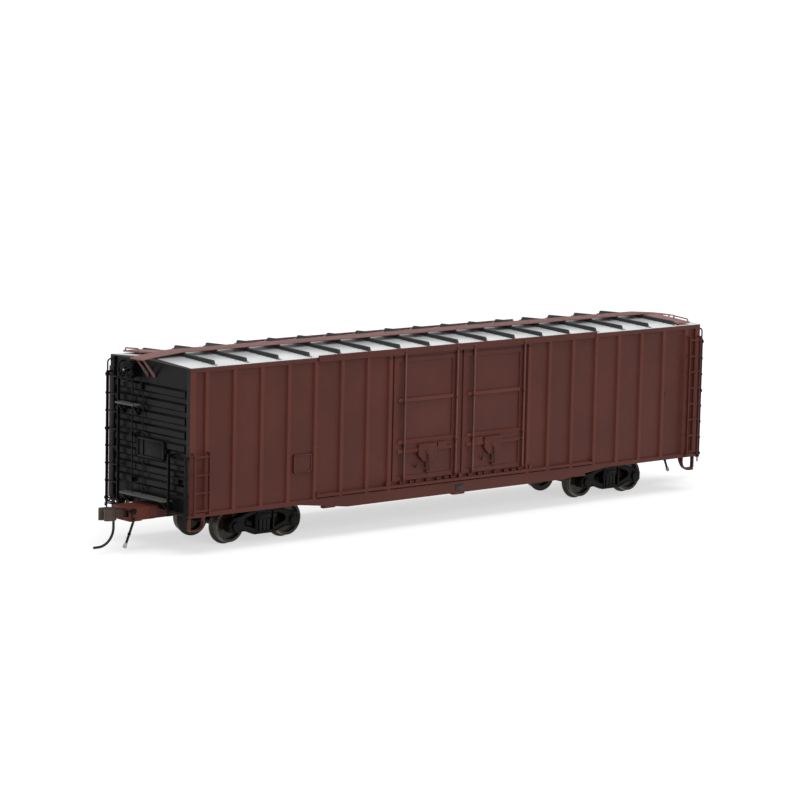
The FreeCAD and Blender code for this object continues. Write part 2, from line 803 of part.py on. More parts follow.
def roof_walkways():
    """All boards as one moulding, drilled for its two grab irons."""
    pieces = [long_board()]
    irons = []
    for name, turn in zip(("plain", "brake"), (0, 180)):
        pieces.append(side_board(name, turn))
        pieces.append(board_strut(name + "_left", "-", turn))
        pieces.append(board_strut(name + "_right", "", turn))
        irons.append(grab_iron(name, turn))
    both = doc.addObject("Part::Compound", "roof_grab_irons")
    both.Links = irons
    finished(cut("running_board", joined("running_board_solid", pieces), both), "running_board")
    return finished(both, "roof_grab_irons")


roof_walkways()


# Floor and frame
def underframe():
    """The floor with its body bolsters and cross bearers."""
    body = doc.addObject("PartDesign::Body", "underframe")
    floor = [
        ("-" + END_X + " + end_thickness", "-" + INNER_Y),
        (END_X + " - end_thickness", "-" + INNER_Y),
        (END_X + " - end_thickness", INNER_Y),
        ("-" + END_X + " + end_thickness", INNER_Y),
    ]
    pad(body, "floor", outline(body, "floor_lines", "XY_Plane", "floor_height", floor), "floor_thickness")
    for name, side in (("near", "-"), ("far", "")):
        arm = [
            (side + "centre_sill_width / 2", "bearer_height"),
            (side + INNER_Y, "bearer_tip"),
            (side + INNER_Y, "floor_height"),
            (side + "centre_sill_width / 2", "floor_height"),
        ]
        start = "-bearer_pitch * (bearer_count - 1) / 2 - bearer_width / 2"
        first = pad(body, name + "_bearer", outline(body, name + "_bearer_lines", "YZ_Plane", start, arm), "bearer_width")
        row(body, name + "_bearers", first, "X_Axis", "bearer_pitch * (bearer_count - 1)", "bearer_count")
        arm = [
            (side + "centre_sill_width / 2", "bolster_height"),
            (side + "bolster_root", "bolster_height"),
            (side + INNER_Y, "bearer_tip"),
            (side + INNER_Y, "floor_height"),
            (side + "centre_sill_width / 2", "floor_height"),
        ]
        start = "-truck_centres / 2 - bolster_width / 2"
        first = pad(body, name + "_bolster", outline(body, name + "_bolster_lines", "YZ_Plane", start, arm), "bolster_width")
        row(body, name + "_bolsters", first, "X_Axis", "truck_centres", "2")
    return finished(body, "underframe")


underframe()


def centre_sill():
    """The beam down the middle, with a round plate over each truck."""
    half = "centre_sill_width / 2"
    beam_x = ("-" + BOX_REAR, BOX_REAR)
    pieces = [box("centre_sill_beam", beam_x, ("-" + half, half), ("centre_sill_height", "floor_height"))]
    holes = []
    for name, side in (("b", "-"), ("a", "")):
        x = side + TRUCK_X
        pieces.append(round_bar(
            "centre_plate_" + name, "z", "centre_plate_radius", (x, "0", "centre_plate_height"),
            "centre_sill_height - centre_plate_height",
        ))
        holes.append(round_bar(
            "screw_hole_" + name, "z", "swivel_screw_radius", (x, "0", "centre_plate_height"), "swivel_screw_grip",
        ))
    drilled = cut("centre_sill", joined("centre_sill_solid", pieces), joined("screw_holes", holes))
    return finished(drilled, "centre_sill")


centre_sill()

finished(
    box(
        "ballast_weight",
        ("-weight_length / 2", "weight_length / 2"),
        ("-weight_width / 2", "weight_width / 2"),
        ("floor_height + floor_thickness", "floor_height + floor_thickness + weight_thickness"),
    ),
    "ballast_weight",
)


def draft_gear_box(label, turn):
    """The coupler pocket under the floor, open in front, with its pivot post."""
    body = doc.addObject("PartDesign::Body", label)
    half = "box_width / 2"
    outer = rectangle(BOX_REAR, "box_face", "-" + half, half)
    sketch = outline(body, label + "_lines", "XY_Plane", "box_low + box_step", outer)
    pad(body, label + "_block", sketch, "box_height - box_step")
    lip = rectangle("box_face - box_step_length", "box_face", "-" + half, half)
    pad(body, label + "_lip", outline(body, label + "_lip_lines", "XY_Plane", "box_low", lip), "box_step")
    seat = rectangle(BOX_REAR, END_X + " - end_thickness", "-" + half, half)
    sketch = outline(body, label + "_seat_lines", "XY_Plane", BOX_TOP, seat)
    pad(body, label + "_seat", sketch, "floor_height - " + BOX_TOP)
    inner = rectangle("coupler_pivot - pocket_back", "box_face", "-" + half + " + box_wall", half + " - box_wall")
    low = "coupler_height - shank_height / 2 - coupler_gap"
    high = "shank_height + 2 * coupler_gap"
    pocket(body, label + "_mouth", outline(body, label + "_mouth_lines", "XY_Plane", low, inner), high, other_way=True)
    side = "coupler_pin_radius * post_share"
    post = rectangle("coupler_pivot - " + side, "coupler_pivot + " + side, "-" + side, side)
    body.Tip = pad(body, label + "_post", outline(body, label + "_post_lines", "XY_Plane", low, post), high)
    return finished(place(body, turn), label)


draft_gear_box("draft_gear_box_a", 0)
draft_gear_box("draft_gear_box_b", 180)


# Trucks
def truck_bolster(label, side):
    """The cross beam of a truck, bored for its swivel screw."""
    top = "centre_plate_height - pivot_gap"
    inner = "frame_inner"
    half = "truck_bolster_width / 2"
    x = (side + TRUCK_X + " - " + half, side + TRUCK_X + " + " + half)
    beam = box(label + "_beam", x, ("-" + inner, inner), ("truck_bolster_low", top))
    hole = round_bar(
        label + "_bore", "z", "swivel_screw_radius + swivel_screw_gap", (side + TRUCK_X, "0", "truck_bolster_low"),
        top + " - truck_bolster_low",
    )
    return finished(cut(label, beam, hole), label)


def side_frame(label, side, turn):
    """A cast side frame with two windows, a spring nest, a bolster end and bearing caps."""
    body = doc.addObject("PartDesign::Body", label + "_casting")
    middle = side + TRUCK_X
    half = "wheelbase / 2"
    face = "(frame_inner + frame_thickness)"
    right = [
        ("frame_foot", "frame_low"),
        (half + " - 2.6", AXLE_Z + " - 1.3"),
        (half + " - 1.6", AXLE_Z + " - 1.7"),
        (half + " + 1.5", AXLE_Z + " - 1.7"),
        (half + " + pedestal_reach", AXLE_Z + " - 1.0"),
        (half + " + pedestal_reach", AXLE_Z + " + 1.1"),
        (half + " + 1.0", AXLE_Z + " + 2.4"),
        (half + " - 1.6", AXLE_Z + " + 2.9"),
        ("frame_crown", "frame_high"),
    ]
    frame = [(middle + " + " + across, up) for across, up in right]
    frame = frame + [(middle + " - (" + across + ")", up) for across, up in reversed(right)]
    pad(body, label + "_plate", outline(body, label + "_lines", "XZ_Plane", "frame_inner", frame), "frame_thickness")
    for name, way in (("left", "-"), ("right", "+")):
        window = [
            ("(nest_half_width + 0.7)", AXLE_Z + " - 1.3"),
            (half + " - 3.0", AXLE_Z + " + 0.1"),
            (half + " - 2.6", AXLE_Z + " + 1.1"),
            (half + " - 3.4", AXLE_Z + " + 2.1"),
            ("(nest_half_width + 0.7)", AXLE_Z + " + 3.1"),
        ]
        hole = [(middle + " " + way + " (" + across + ")", up) for across, up in window]
        lines = outline(body, label + "_" + name + "_window_lines", "XZ_Plane", face, hole)
        pocket(body, label + "_" + name + "_window", lines, "frame_thickness")
        socket = body.newObject("Sketcher::SketchObject", label + "_" + name + "_socket_lines")
        socket.AttachmentSupport = [(plane(body, "XZ_Plane"), "")]
        socket.MapMode = "FlatFace"
        socket.setExpression("AttachmentOffset.Base.z", linked("frame_inner"))
        socket.addGeometry(Part.Circle(FreeCAD.Vector(0, number(AXLE_Z), 0), FreeCAD.Vector(0, 0, 1), 1), False)
        for kind, formula in (("DistanceX", middle + " " + way + " " + half), ("DistanceY", AXLE_Z)):
            tie = socket.addConstraint(Sketcher.Constraint(kind, -1, 1, 0, 3, number(formula)))
            socket.setExpression("Constraints[" + str(tie) + "]", linked(formula))
        tie = socket.addConstraint(Sketcher.Constraint("Radius", 0, 1))
        socket.setExpression("Constraints[" + str(tie) + "]", linked("axle_journal_radius + frame_gap"))
        depth = "axle_length / 2 - frame_inner + frame_gap"
        pocket(body, label + "_" + name + "_socket", socket, depth, other_way=True)
    nest = rectangle(middle + " - nest_half_width", middle + " + nest_half_width", "nest_low", "nest_high")
    lines = outline(body, label + "_nest_lines", "XZ_Plane", face, nest)
    body.Tip = pocket(body, label + "_nest", lines, "nest_depth")
    pieces = [body]
    for name, spot in (("left", " - spring_pitch"), ("middle", ""), ("right", " + spring_pitch")):
        start = (middle + spot, "-" + face + " + nest_depth / 2", "nest_low")
        pieces.append(round_bar(label + "_" + name + "_spring", "z", "spring_radius", start, "bolster_end_low - nest_low"))
    pieces.append(box(
        label + "_bolster_end", (middle + " - bolster_end_half_width", middle + " + bolster_end_half_width"),
        ("-" + face, "-" + face + " + nest_depth"), ("bolster_end_low", "nest_high"),
    ))
    for name, way in (("left", " - "), ("right", " + ")):
        start = (middle + way + half, "-" + face + " - cap_reach", AXLE_Z)
        pieces.append(round_bar(label + "_" + name + "_cap", "y", "cap_radius", start, "cap_reach"))
    return finished(joined(label, pieces, turn), label)


def wheelset(index, x):
    """An axle with its two wheels pressed on it."""
    name = "axle_" + str(index)
    body = doc.addObject("PartDesign::Body", name)
    end = "axle_length / 2"
    neck = "frame_inner - 0.6"
    half = [
        ("0", "0"),
        (end, "0"),
        (end + " - axle_cone", "axle_journal_radius"),
        (neck, "axle_journal_radius"),
        (neck, "axle_radius"),
        ("0", "axle_radius"),
    ]
    profile = half[:1] + half[1:5] + [("-(" + across + ")", up) for across, up in reversed(half[1:5])]
    lines = outline(body, name + "_lines", "YZ_Plane", "0", profile)
    body.Tip = revolved(body, name + "_turned", lines, "Y_Axis")
    finished(place(body, 0, x, "0", AXLE_Z), name)
    wheels = []
    tread = "tread_diameter / 2"
    back = "wheel_back_spacing / 2"
    for side, turn in (("near", 180), ("far", 0)):
        label = "wheel_" + str(index) + "_" + side
        body = doc.addObject("PartDesign::Body", label)
        profile = [
            (back, "axle_radius"),
            (back, "hub_radius"),
            (back + " + 0.9", "hub_radius + 0.3"),
            (back + " + 0.9", tread + " - rim_depth"),
            (back, tread + " - rim_depth"),
            (back, tread + " + flange_height"),
            (back + " + flange_width * 0.5", tread + " + flange_height"),
            (back + " + flange_width", tread),
            (back + " + wheel_width", tread + " - 0.1"),
            (back + " + wheel_width", tread + " - rim_depth"),
            (back + " + 0.9 + wheel_web", tread + " - rim_depth"),
            (back + " + 0.9 + wheel_web", "hub_radius + 0.3"),
            (back + " + wheel_width", "hub_radius"),
            (back + " + wheel_width", "axle_radius"),
        ]
        lines = outline(body, label + "_lines", "YZ_Plane", "0", profile)
        body.Tip = revolved(body, label + "_turned", lines, "Y_Axis")
        wheels.append(place(body, turn, x, "0", AXLE_Z))
    pair = doc.addObject("Part::Compound", "wheels_" + str(index))
    pair.Links = wheels
    finished(pair, "wheels_" + str(index))


def swivel_screw(label, side):
    """The screw that holds a truck under its bolster."""
    x = side + TRUCK_X
    shank = round_bar(
        label + "_shank", "z", "swivel_screw_radius", (x, "0", "truck_bolster_low - pivot_gap"),
        "centre_plate_height + swivel_screw_grip - truck_bolster_low + pivot_gap",
    )
    head = round_bar(
        label + "_head", "z", "swivel_head_radius", (x, "0", "truck_bolster_low - pivot_gap - swivel_head_height"),
        "swivel_head_height",
    )
    return finished(joined(label, [shank, head]), label)


for name, side in (("b", "-"), ("a", "")):
    truck_bolster("truck_bolster_" + name, side)
    side_frame("side_frame_" + name + "_near", side, 0)
    side_frame("side_frame_" + name + "_far", "" if side else "-", 180)
    swivel_screw("swivel_screw_" + name, side)

for index, (side, way) in enumerate((("-", "-"), ("-", "+"), ("", "-"), ("", "+")), start=1):
    wheelset(index, side + TRUCK_X + " " + way + " wheelbase / 2")


# Couplers
def coupler(name, turn):
    """The coupler head with its guard arm, shank and pivot eye."""
    body = doc.addObject("PartDesign::Body", "coupler_" + name)
    head = [
        ("coupler_face - 4.0", "-shank_width / 2"),
        ("coupler_face - 3.2", "-2.0"),
        ("coupler_face - 0.6", "-2.3"),
        ("coupler_face - 0.1", "-1.9"),
        ("coupler_face - 0.4", "-1.4"),
        ("coupler_face - 1.4", "-0.9"),
        ("coupler_face - 1.9", "0"),
        ("coupler_face - 1.9", "0.45"),
        ("coupler_face - 3.4", "0.45"),
        ("coupler_face - 4.0", "shank_width / 2"),
    ]
    low = "coupler_height - coupler_head_height / 2"
    pad(body, "head_" + name, outline(body, "head_lines_" + name, "XY_Plane", low, head), "coupler_head_height")
    low = "coupler_height - shank_height / 2"
    shank = rectangle("coupler_pivot", "coupler_face - 3.8", "-shank_width / 2", "shank_width / 2")
    body.Tip = pad(body, "shank_" + name, outline(body, "shank_lines_" + name, "XY_Plane", low, shank), "shank_height")
    bar = place(body, turn)
    pivot = ("-coupler_pivot" if turn else "coupler_pivot", "0", low)
    bore = "coupler_pin_radius + coupler_side_gap"
    eye = round_bar("eye_" + name, "z", bore + " + eye_wall", pivot, "shank_height")
    hole = round_bar("eye_bore_" + name, "z", bore, pivot, "shank_height")
    whole = cut("coupler_whole_" + name, joined("coupler_solid_" + name, [bar, eye]), hole)
    return finished(whole, "coupler_" + name + "_head")


def knuckle(name, turn):
    """The hooked knuckle beside the head, with the curved trip pin below it."""
    body = doc.addObject("PartDesign::Body", "knuckle_hook_" + name)
    hook = [
        ("coupler_face - 3.0", "0.75"),
        ("coupler_face - 3.2", "knuckle_y"),
        ("coupler_face - 2.8", "2.2"),
        ("coupler_face - 1.5", "2.4"),
        ("coupler_face - 0.2", "1.9"),
        ("coupler_face", "1.2"),
        ("coupler_face - 0.25", "0.45"),
        ("coupler_face - 0.8", "0.3"),
        ("coupler_face - 1.1", "0.8"),
        ("coupler_face - 1.9", "0.8"),
    ]
    low = "coupler_height - knuckle_height / 2"
    pad(body, "hook_" + name, outline(body, "hook_lines_" + name, "XY_Plane", low, hook), "knuckle_height")
    pin = [
        (KNUCKLE_X, "knuckle_y", low),
        (KNUCKLE_X, "knuckle_y", "trip_pin_low"),
        (KNUCKLE_X + " + trip_pin_reach", "knuckle_y", "trip_pin_low"),
    ]
    rod = bent_rod("trip_pin_" + name, pin, "trip_pin_radius", "trip_pin_bend", turn)
    return finished(joined("knuckle_whole_" + name, [place(body, turn), rod]), "knuckle_" + name)


for name, turn in zip("ba", (180, 0)):
    coupler(name, turn)
    knuckle(name, turn)


# Ladders, steps and platforms
def ladder(label, along, low, rungs, faces, turn, on_end=False, curved=False):
    """A ladder with round rungs between two flat stiles, on feet that reach back to each face."""
    top = low + " + rung_pitch * (" + rungs + " - 1) + stile_overrun"
    bottom = low + " - stile_overrun"
    outer = (HALF_LENGTH if on_end else HALF_WIDTH) + " + ladder_reach"
    left, right = along
    edges = ((left, left + " + stile_width"), (right + " - stile_width", right))

    def block(name, edge, depth, height):
        if on_end:
            return box(name, depth, edge, height)
        return box(name, edge, ("-(" + depth[1] + ")", "-(" + depth[0] + ")"), height)

    pieces = []
    for name, edge, face in zip(("left", "right"), edges, faces):
        pieces.append(block(label + "_" + name, edge, (outer + " - stile_depth", outer), (bottom, top)))
        for spot, height in (("low", bottom), ("high", top + " - foot_height")):
            pieces.append(block(label + "_" + name + "_" + spot, edge, (face, outer), (height, height + " + foot_height")))
        if curved:
            middle = edge[0] + " + stile_width / 2"
            bar = [
                (outer + " - stile_depth / 2", middle, top + " - foot_height"),
                (outer + " - stile_depth / 2", middle, top + " + ladder_curve_height"),
                (face, middle, top + " + ladder_curve_height"),
            ]
            pieces.append(bent_rod(label + "_" + name + "_curve", bar, "rung_radius", "ladder_curve"))
    for rung in range(int(number(rungs))):
        height = low + " + rung_pitch * " + str(rung)
        depth = outer + " - stile_depth / 2"
        start = (depth, left, height) if on_end else (left, "-(" + depth + ")", height)
        axis = "y" if on_end else "x"
        pieces.append(round_bar(label + "_rung_" + str(rung), axis, "rung_radius", start, right + " - (" + left + ")"))
    return finished(joined(label, pieces, turn), label)


tall_x = (HALF_LENGTH + " - side_ladder_inset - side_ladder_width", HALF_LENGTH + " - side_ladder_inset")
short_x = ("-" + HALF_LENGTH + " + side_ladder_inset", "-" + HALF_LENGTH + " + side_ladder_inset + side_short_width")
for name, turn in zip(("near", "far"), (0, 180)):
    ladder("side_ladder_tall_" + name, tall_x, "low_rung", "tall_rungs", (HALF_WIDTH, HALF_WIDTH), turn)
    ladder("side_ladder_short_" + name, short_x, "low_rung", "short_rungs", (HALF_WIDTH, HALF_WIDTH), turn)

tall_y = ("-" + HALF_WIDTH, "-" + HALF_WIDTH + " + end_ladder_width")
short_y = (HALF_WIDTH + " - end_short_width", HALF_WIDTH)
for name, turn in zip(("plain", "brake"), (0, 180)):
    ladder(
        "end_ladder_tall_" + name, tall_y, "low_end_rung", "tall_rungs", (HALF_LENGTH, END_X), turn,
        on_end=True, curved=True,
    )
    ladder("end_ladder_short_" + name, short_y, "low_end_rung", "short_rungs", (END_X, HALF_LENGTH), turn, on_end=True)


def arc_points(middle, radius, way):
    """Four points down a quarter circle, from its side to its foot."""
    x, z = middle
    shares = (("1", "0"), ("step_arc_wide", "step_arc_short"), ("step_arc_short", "step_arc_wide"), ("0", "1"))
    return [(x + way + "(" + radius + ") * " + aside, z + " - (" + radius + ") * " + down) for aside, down in shares]


def sill_steps():
    """A stirrup step under the sill at each corner, bent wide on the side away from the end."""
    steps = []
    for name, side, turn in zip(("near_left", "near_right", "far_left", "far_right"), ("-", "", "-", ""), (0, 0, 180, 180)):
        body = doc.addObject("PartDesign::Body", "step_" + name)
        inner = ("body_length / 2 - step_inset - step_width + step_curve", "step_low + step_curve")
        outer = ("body_length / 2 - step_inset - step_corner", "step_low + step_corner")
        strap = [("body_length / 2 - step_inset - step_width", "sill_height")]
        strap = strap + arc_points(inner, "step_curve", " - ")
        strap = strap + list(reversed(arc_points(outer, "step_corner", " + ")))
        strap = strap + [("body_length / 2 - step_inset", "sill_height")]
        strap = strap + [("body_length / 2 - step_inset - step_bar", "sill_height")]
        strap = strap + arc_points(outer, "step_corner - step_bar", " + ")
        strap = strap + list(reversed(arc_points(inner, "step_curve - step_bar", " - ")))
        strap = strap + [("body_length / 2 - step_inset - step_width + step_bar", "sill_height")]
        strap = [(side + "(" + across + ")", up) for across, up in strap]
        offset = "body_width / 2 - step_gap - step_depth"
        pad(body, "step_pad_" + name, outline(body, "step_lines_" + name, "XZ_Plane", offset, strap), "step_depth")
        steps.append(place(body, turn))
    group = doc.addObject("Part::Compound", "sill_steps")
    group.Links = steps
    return finished(group, "sill_steps")


sill_steps()


def platform(label, root, y, height, turn, slot=None):
    """A flat end platform on two triangular braces."""
    front = HALF_LENGTH + " + platform_reach"
    low, high = y
    deck = box(label + "_deck", (root, front), y, (height, height + " + platform_thickness"))
    if slot:
        deck = cut(label + "_slotted", deck, slot)
    pieces = [deck]
    for name, offset in (("left", "-(" + high + ") + brace_inset"), ("right", "-(" + low + ") - brace_inset - brace_width")):
        body = doc.addObject("PartDesign::Body", label + "_" + name)
        lines = [
            (root, height),
            (root, height + " - brace_drop"),
            (front + " - brace_tip", height + " - brace_tip"),
            (front + " - brace_tip", height),
        ]
        pad(body, label + "_" + name + "_brace", outline(body, label + "_" + name + "_lines", "XZ_Plane", offset, lines), "brace_width")
        pieces.append(body)
    return finished(joined(label, pieces, turn), label)


rod_x = HALF_LENGTH + " - end_rib_reach + brake_rod_reach"
rod_slot = box(
    "brake_rod_slot", (HALF_LENGTH, rod_x + " + rung_radius + brake_rod_gap"),
    ("-brake_rod_y - rung_radius - brake_rod_gap", "-brake_rod_y + rung_radius + brake_rod_gap"),
    ("brake_platform_z", "brake_platform_z + platform_thickness"),
)
deck_y = ("-brake_platform_y - brake_platform_width", "-brake_platform_y")
platform("brake_platform", HALF_LENGTH, deck_y, "brake_platform_z", 180, rod_slot)
for name, turn in zip(("plain", "brake"), (0, 180)):
    platform("crossover_platform_" + name, END_X, ("-crossover_y", "crossover_y"), "crossover_z", turn)


# Hand brake
def hand_brake():
    """The brake wheel, its gear housing and the rod down the end."""
    face = "-" + END_X
    y = "brake_wheel_y"
    z = "brake_wheel_z"
    housing = box(
        "brake_housing_case", (face + " - brake_housing_depth", face),
        (y + " - brake_housing_width / 2", y + " + brake_housing_width / 2"),
        (z + " - brake_housing_height / 2", z + " + brake_housing_height / 2"),
    )
    stub_length = "brake_wheel_reach - brake_housing_depth - brake_rim_radius"
    stub = round_bar("brake_stub", "x", "brake_stub_radius", (face + " - brake_wheel_reach + brake_rim_radius", y, z), stub_length)
    finished(joined("brake_housing", [housing, stub]), "brake_housing")
    rim = doc.addObject("Part::Torus", "brake_rim")
    rim.Placement = FreeCAD.Placement(FreeCAD.Vector(), FreeCAD.Rotation(FreeCAD.Vector(0, 1, 0), 90))
    rim.setExpression("Radius1", linked("brake_wheel_radius - brake_rim_radius"))
    rim.setExpression("Radius2", linked("brake_rim_radius"))
    for axis, text in zip("xyz", (face + " - brake_wheel_reach", y, z)):
        rim.setExpression("Placement.Base." + axis, linked(text))
    hub = round_bar(
        "brake_hub", "x", "brake_stub_radius + 0.25", (face + " - brake_wheel_reach - brake_rim_radius", y, z),
        "2 * brake_rim_radius",
    )
    pieces = [rim, hub]
    half = "brake_rim_radius / 2"
    spoke_x = (face + " - brake_wheel_reach - " + half, face + " - brake_wheel_reach + " + half)
    reach = "brake_wheel_radius - brake_rim_radius"
    pieces.append(box("brake_spoke_upright", spoke_x, (y + " - " + half, y + " + " + half), (z + " - " + reach, z + " + " + reach)))
    pieces.append(box("brake_spoke_level", spoke_x, (y + " - " + reach, y + " + " + reach), (z + " - " + half, z + " + " + half)))
    finished(joined("brake_wheel", pieces), "brake_wheel")
    rod_top = z + " - brake_housing_height / 2"
    rod_x = face + " - brake_rod_reach"
    rod = round_bar("brake_rod_bar", "z", "rung_radius", (rod_x, "brake_rod_y", "brake_rod_foot"), rod_top + " - brake_rod_foot")
    foot = box(
        "brake_rod_foot_block", (rod_x + " - brake_foot_width / 2", "-" + HALF_LENGTH),
        ("brake_rod_y - brake_foot_width / 2", "brake_rod_y + brake_foot_width / 2"),
        ("brake_rod_foot", "brake_rod_foot + brake_foot_width"),
    )
    return finished(joined("brake_rod", [rod, foot]), "brake_rod")


hand_brake()


# Air brake
def air_brake():
    """The reservoir, valve and cylinder, each hung under the floor between two bearers."""
    half = "hanger_width / 2"
    hanger_y = ("reservoir_y - " + half, "reservoir_y + " + half)
    hanger_z = ("reservoir_z", "floor_height")
    for name, middle, length, radius, inner in (
        ("air_reservoir", "bearer_pitch / 2", "reservoir_length", "reservoir_radius", "tank"),
        ("brake_cylinder", "bearer_pitch * 3 / 2", "brake_cylinder_length", "brake_cylinder_radius", "barrel"),
    ):
        start = (middle + " - " + length + " / 2", "reservoir_y", "reservoir_z")
        drum = round_bar(name + "_" + inner, "x", radius, start, length)
        hanger = box(name + "_hanger", (middle + " - hanger_width", middle + " + hanger_width"), hanger_y, hanger_z)
        finished(joined(name, [drum, hanger]), name)
    valve = box(
        "control_valve", ("-bearer_pitch / 2 - valve_width / 2", "-bearer_pitch / 2 + valve_width / 2"),
        ("-reservoir_y - valve_width / 2", "-reservoir_y + valve_width / 2"), ("floor_height - valve_height", "floor_height"),
    )
    return finished(valve, "control_valve")


air_brake()


# Hoses and uncoupling levers
def end_rods(name, turn):
    """The air hose and the uncoupling lever of one end."""
    side = "box_width / 2"
    hose = [
        ("box_face - hose_back", side, "hose_top"),
        ("box_face - hose_back", side + " + hose_reach", "hose_top"),
        ("box_face - hose_back", side + " + hose_reach", "hose_bend_z"),
        ("box_face + hose_slant", side + " + hose_reach", "hose_low"),
    ]
    finished(bent_rod("air_hose_" + name, hose, "hose_radius", "hose_bend", turn), "air_hose_" + name)
    lever = [
        ("lever_x", "-lever_y", "lever_z - lever_handle"),
        ("lever_x", "-lever_y", "lever_z"),
        ("lever_x", "-lever_side - 1.0", "lever_z"),
        ("box_face + 1.8", "-lever_side", "lever_z + lever_lift"),
        (KNUCKLE_X, "-2.2", "lever_z + lever_lift"),
    ]
    wire = bent_rod("lever_wire_" + name, lever, "rung_radius", "lever_bend")
    bracket = box(
        "lever_bracket_" + name, (END_X, "lever_x + rung_radius"),
        ("-lever_bracket_y - lever_bracket_width / 2", "-lever_bracket_y + lever_bracket_width / 2"),
        ("lever_z - rung_radius", "lever_z + lever_bracket_height"),
    )
    return finished(joined("lever_" + name, [wire, bracket], turn), "uncoupling_lever_" + name)


for name, turn in zip("ba", (180, 0)):
    end_rods(name, turn)


# Check every object, then write one file for each sub-part
doc.recompute()
failed = [obj.Name for obj in doc.Objects if "Invalid" in obj.State or "Error" in obj.State]
if failed:
    raise RuntimeError("These objects failed: " + ", ".join(failed))
for obj in PARTS:
    if obj.Shape.isNull() or not obj.Shape.isValid() or not obj.Shape.Solids:
        raise RuntimeError(obj.Label + " has no valid solid")
for obj in PARTS:
    obj.Shape.exportStep("parts/" + obj.Label + ".step")
    size = obj.Shape.BoundBox
    print(obj.Label, len(obj.Shape.Solids), "solids", round(obj.Shape.Volume, 2), "mm3", "z", round(size.ZMin, 2), round(size.ZMax, 2))
print(len(PARTS), "sub-parts")
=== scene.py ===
# %% [markdown]
# This lesson dresses a scale model boxcar. The CAD frame brings every moulded part in its
# true place. The cells below add a camera, a plain studio, paints and metals made from
# nodes, and the fine fittings that a model maker glues on last.
# Lengths on the car are in millimetres and are turned into metres where a mesh is made;
# only the studio is given in metres.

# %% Load the frame
import json
from math import atan2, cos, floor, hypot, pi, radians, sin, tau

import bmesh
import bpy
from mathutils import Matrix, Vector


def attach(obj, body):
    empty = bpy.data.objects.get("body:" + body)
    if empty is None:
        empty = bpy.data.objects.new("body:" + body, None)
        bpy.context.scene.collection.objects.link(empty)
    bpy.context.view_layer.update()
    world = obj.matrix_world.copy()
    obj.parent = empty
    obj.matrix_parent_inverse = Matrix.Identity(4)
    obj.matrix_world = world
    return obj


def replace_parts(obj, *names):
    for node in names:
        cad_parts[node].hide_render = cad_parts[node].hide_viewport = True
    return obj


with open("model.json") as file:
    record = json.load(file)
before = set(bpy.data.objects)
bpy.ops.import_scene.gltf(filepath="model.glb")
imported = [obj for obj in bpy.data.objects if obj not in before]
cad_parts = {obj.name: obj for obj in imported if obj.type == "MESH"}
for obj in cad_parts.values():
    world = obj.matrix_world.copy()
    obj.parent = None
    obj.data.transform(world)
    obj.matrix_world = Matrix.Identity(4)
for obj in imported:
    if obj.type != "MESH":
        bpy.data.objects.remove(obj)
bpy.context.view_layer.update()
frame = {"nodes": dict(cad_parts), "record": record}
nodes = frame["nodes"]

# %% [markdown]
# The camera stands to the left of the brake end, a little above the roof, with a long
# lens. A long lens keeps the two ends of the car nearly the same size, as in a catalogue
# picture. Three turns aim it: round the car, down from upright, and a small lean.

# %% Place the camera
MM = 0.001
SENSOR, PICTURE, FOCUS_PIXELS = 36, 800, 3307.185
scene = bpy.context.scene


def add(name, data):
    """A new object in the scene."""
    made = bpy.data.objects.new(name, data)
    scene.collection.objects.link(made)
    return made


camera = add("camera", bpy.data.cameras.new("camera"))
camera.data.sensor_width = SENSOR
camera.data.lens = FOCUS_PIXELS / PICTURE * SENSOR
camera.data.clip_start = 0.01
camera.data.clip_end = 100
turn = Matrix()
for angle, axis in ((-40.994, "Z"), (81.939, "X"), (1.228, "Z")):
    turn = turn @ Matrix.Rotation(radians(angle), 4, axis)
camera.matrix_world = Matrix.Translation(Vector((-631.391, -717.888, 168.519)) * MM) @ turn
scene.camera = camera
scene.view_settings.view_transform = "Standard"
print("lens", round(camera.data.lens, 1), "mm")

# %% [markdown]
# Shader maths reads best as plain Python. A Wire wraps one output of a node, so that
# `1 - mask` adds the Math node by itself. A Network is any node tree, and its node method
# makes every node from a type, its settings and its sockets. The same class serves the
# materials here and the geometry trees further down.

# %% Wrap the nodes
def sign(operation, swapped=False):
    """A method that adds one Math node, with the other value first where it is swapped."""
    def method(self, *others):
        values = (*others, self) if swapped else (self, *others)
        return self.network.node("ShaderNodeMath", dict(enumerate(values)), {"operation": operation})
    return method


class Wire:
    """One output socket that Python's operators work on."""

    def __init__(self, network, socket):
        self.network = network
        self.socket = socket

    __add__ = sign("ADD")
    __sub__ = sign("SUBTRACT")
    __rsub__ = sign("SUBTRACT", swapped=True)
    __mul__ = sign("MULTIPLY")
    __truediv__ = sign("DIVIDE")
    __mod__ = sign("MODULO")
    __gt__ = sign("GREATER_THAN")
    __lt__ = sign("LESS_THAN")
    __abs__ = sign("ABSOLUTE")
    __floor__ = sign("FLOOR")
    or_more = sign("MAXIMUM")
    root = sign("SQRT")


class Network:
    """A node tree that grows one node at a time."""

    def __init__(self, tree):
        self.tree = tree

    def node(self, kind, inputs=None, settings=None, output=0):
        made = self.tree.nodes.new(kind)
        for label, value in (settings or {}).items():
            setattr(made, label, value)
        for label, value in (inputs or {}).items():
            if isinstance(value, Wire):
                self.tree.links.new(value.socket, made.inputs[label])
            else:
                made.inputs[label].default_value = value
        return Wire(self, made.outputs[output])


print("wrapped", Wire.__name__, Network.__name__)

# %% [markdown]
# A Finish is the network of one material. Its helpers read the object's own coordinates,
# so each pattern stays with its piece when a wheel turns or a truck swivels. Constant
# values go straight on the shader's sockets.

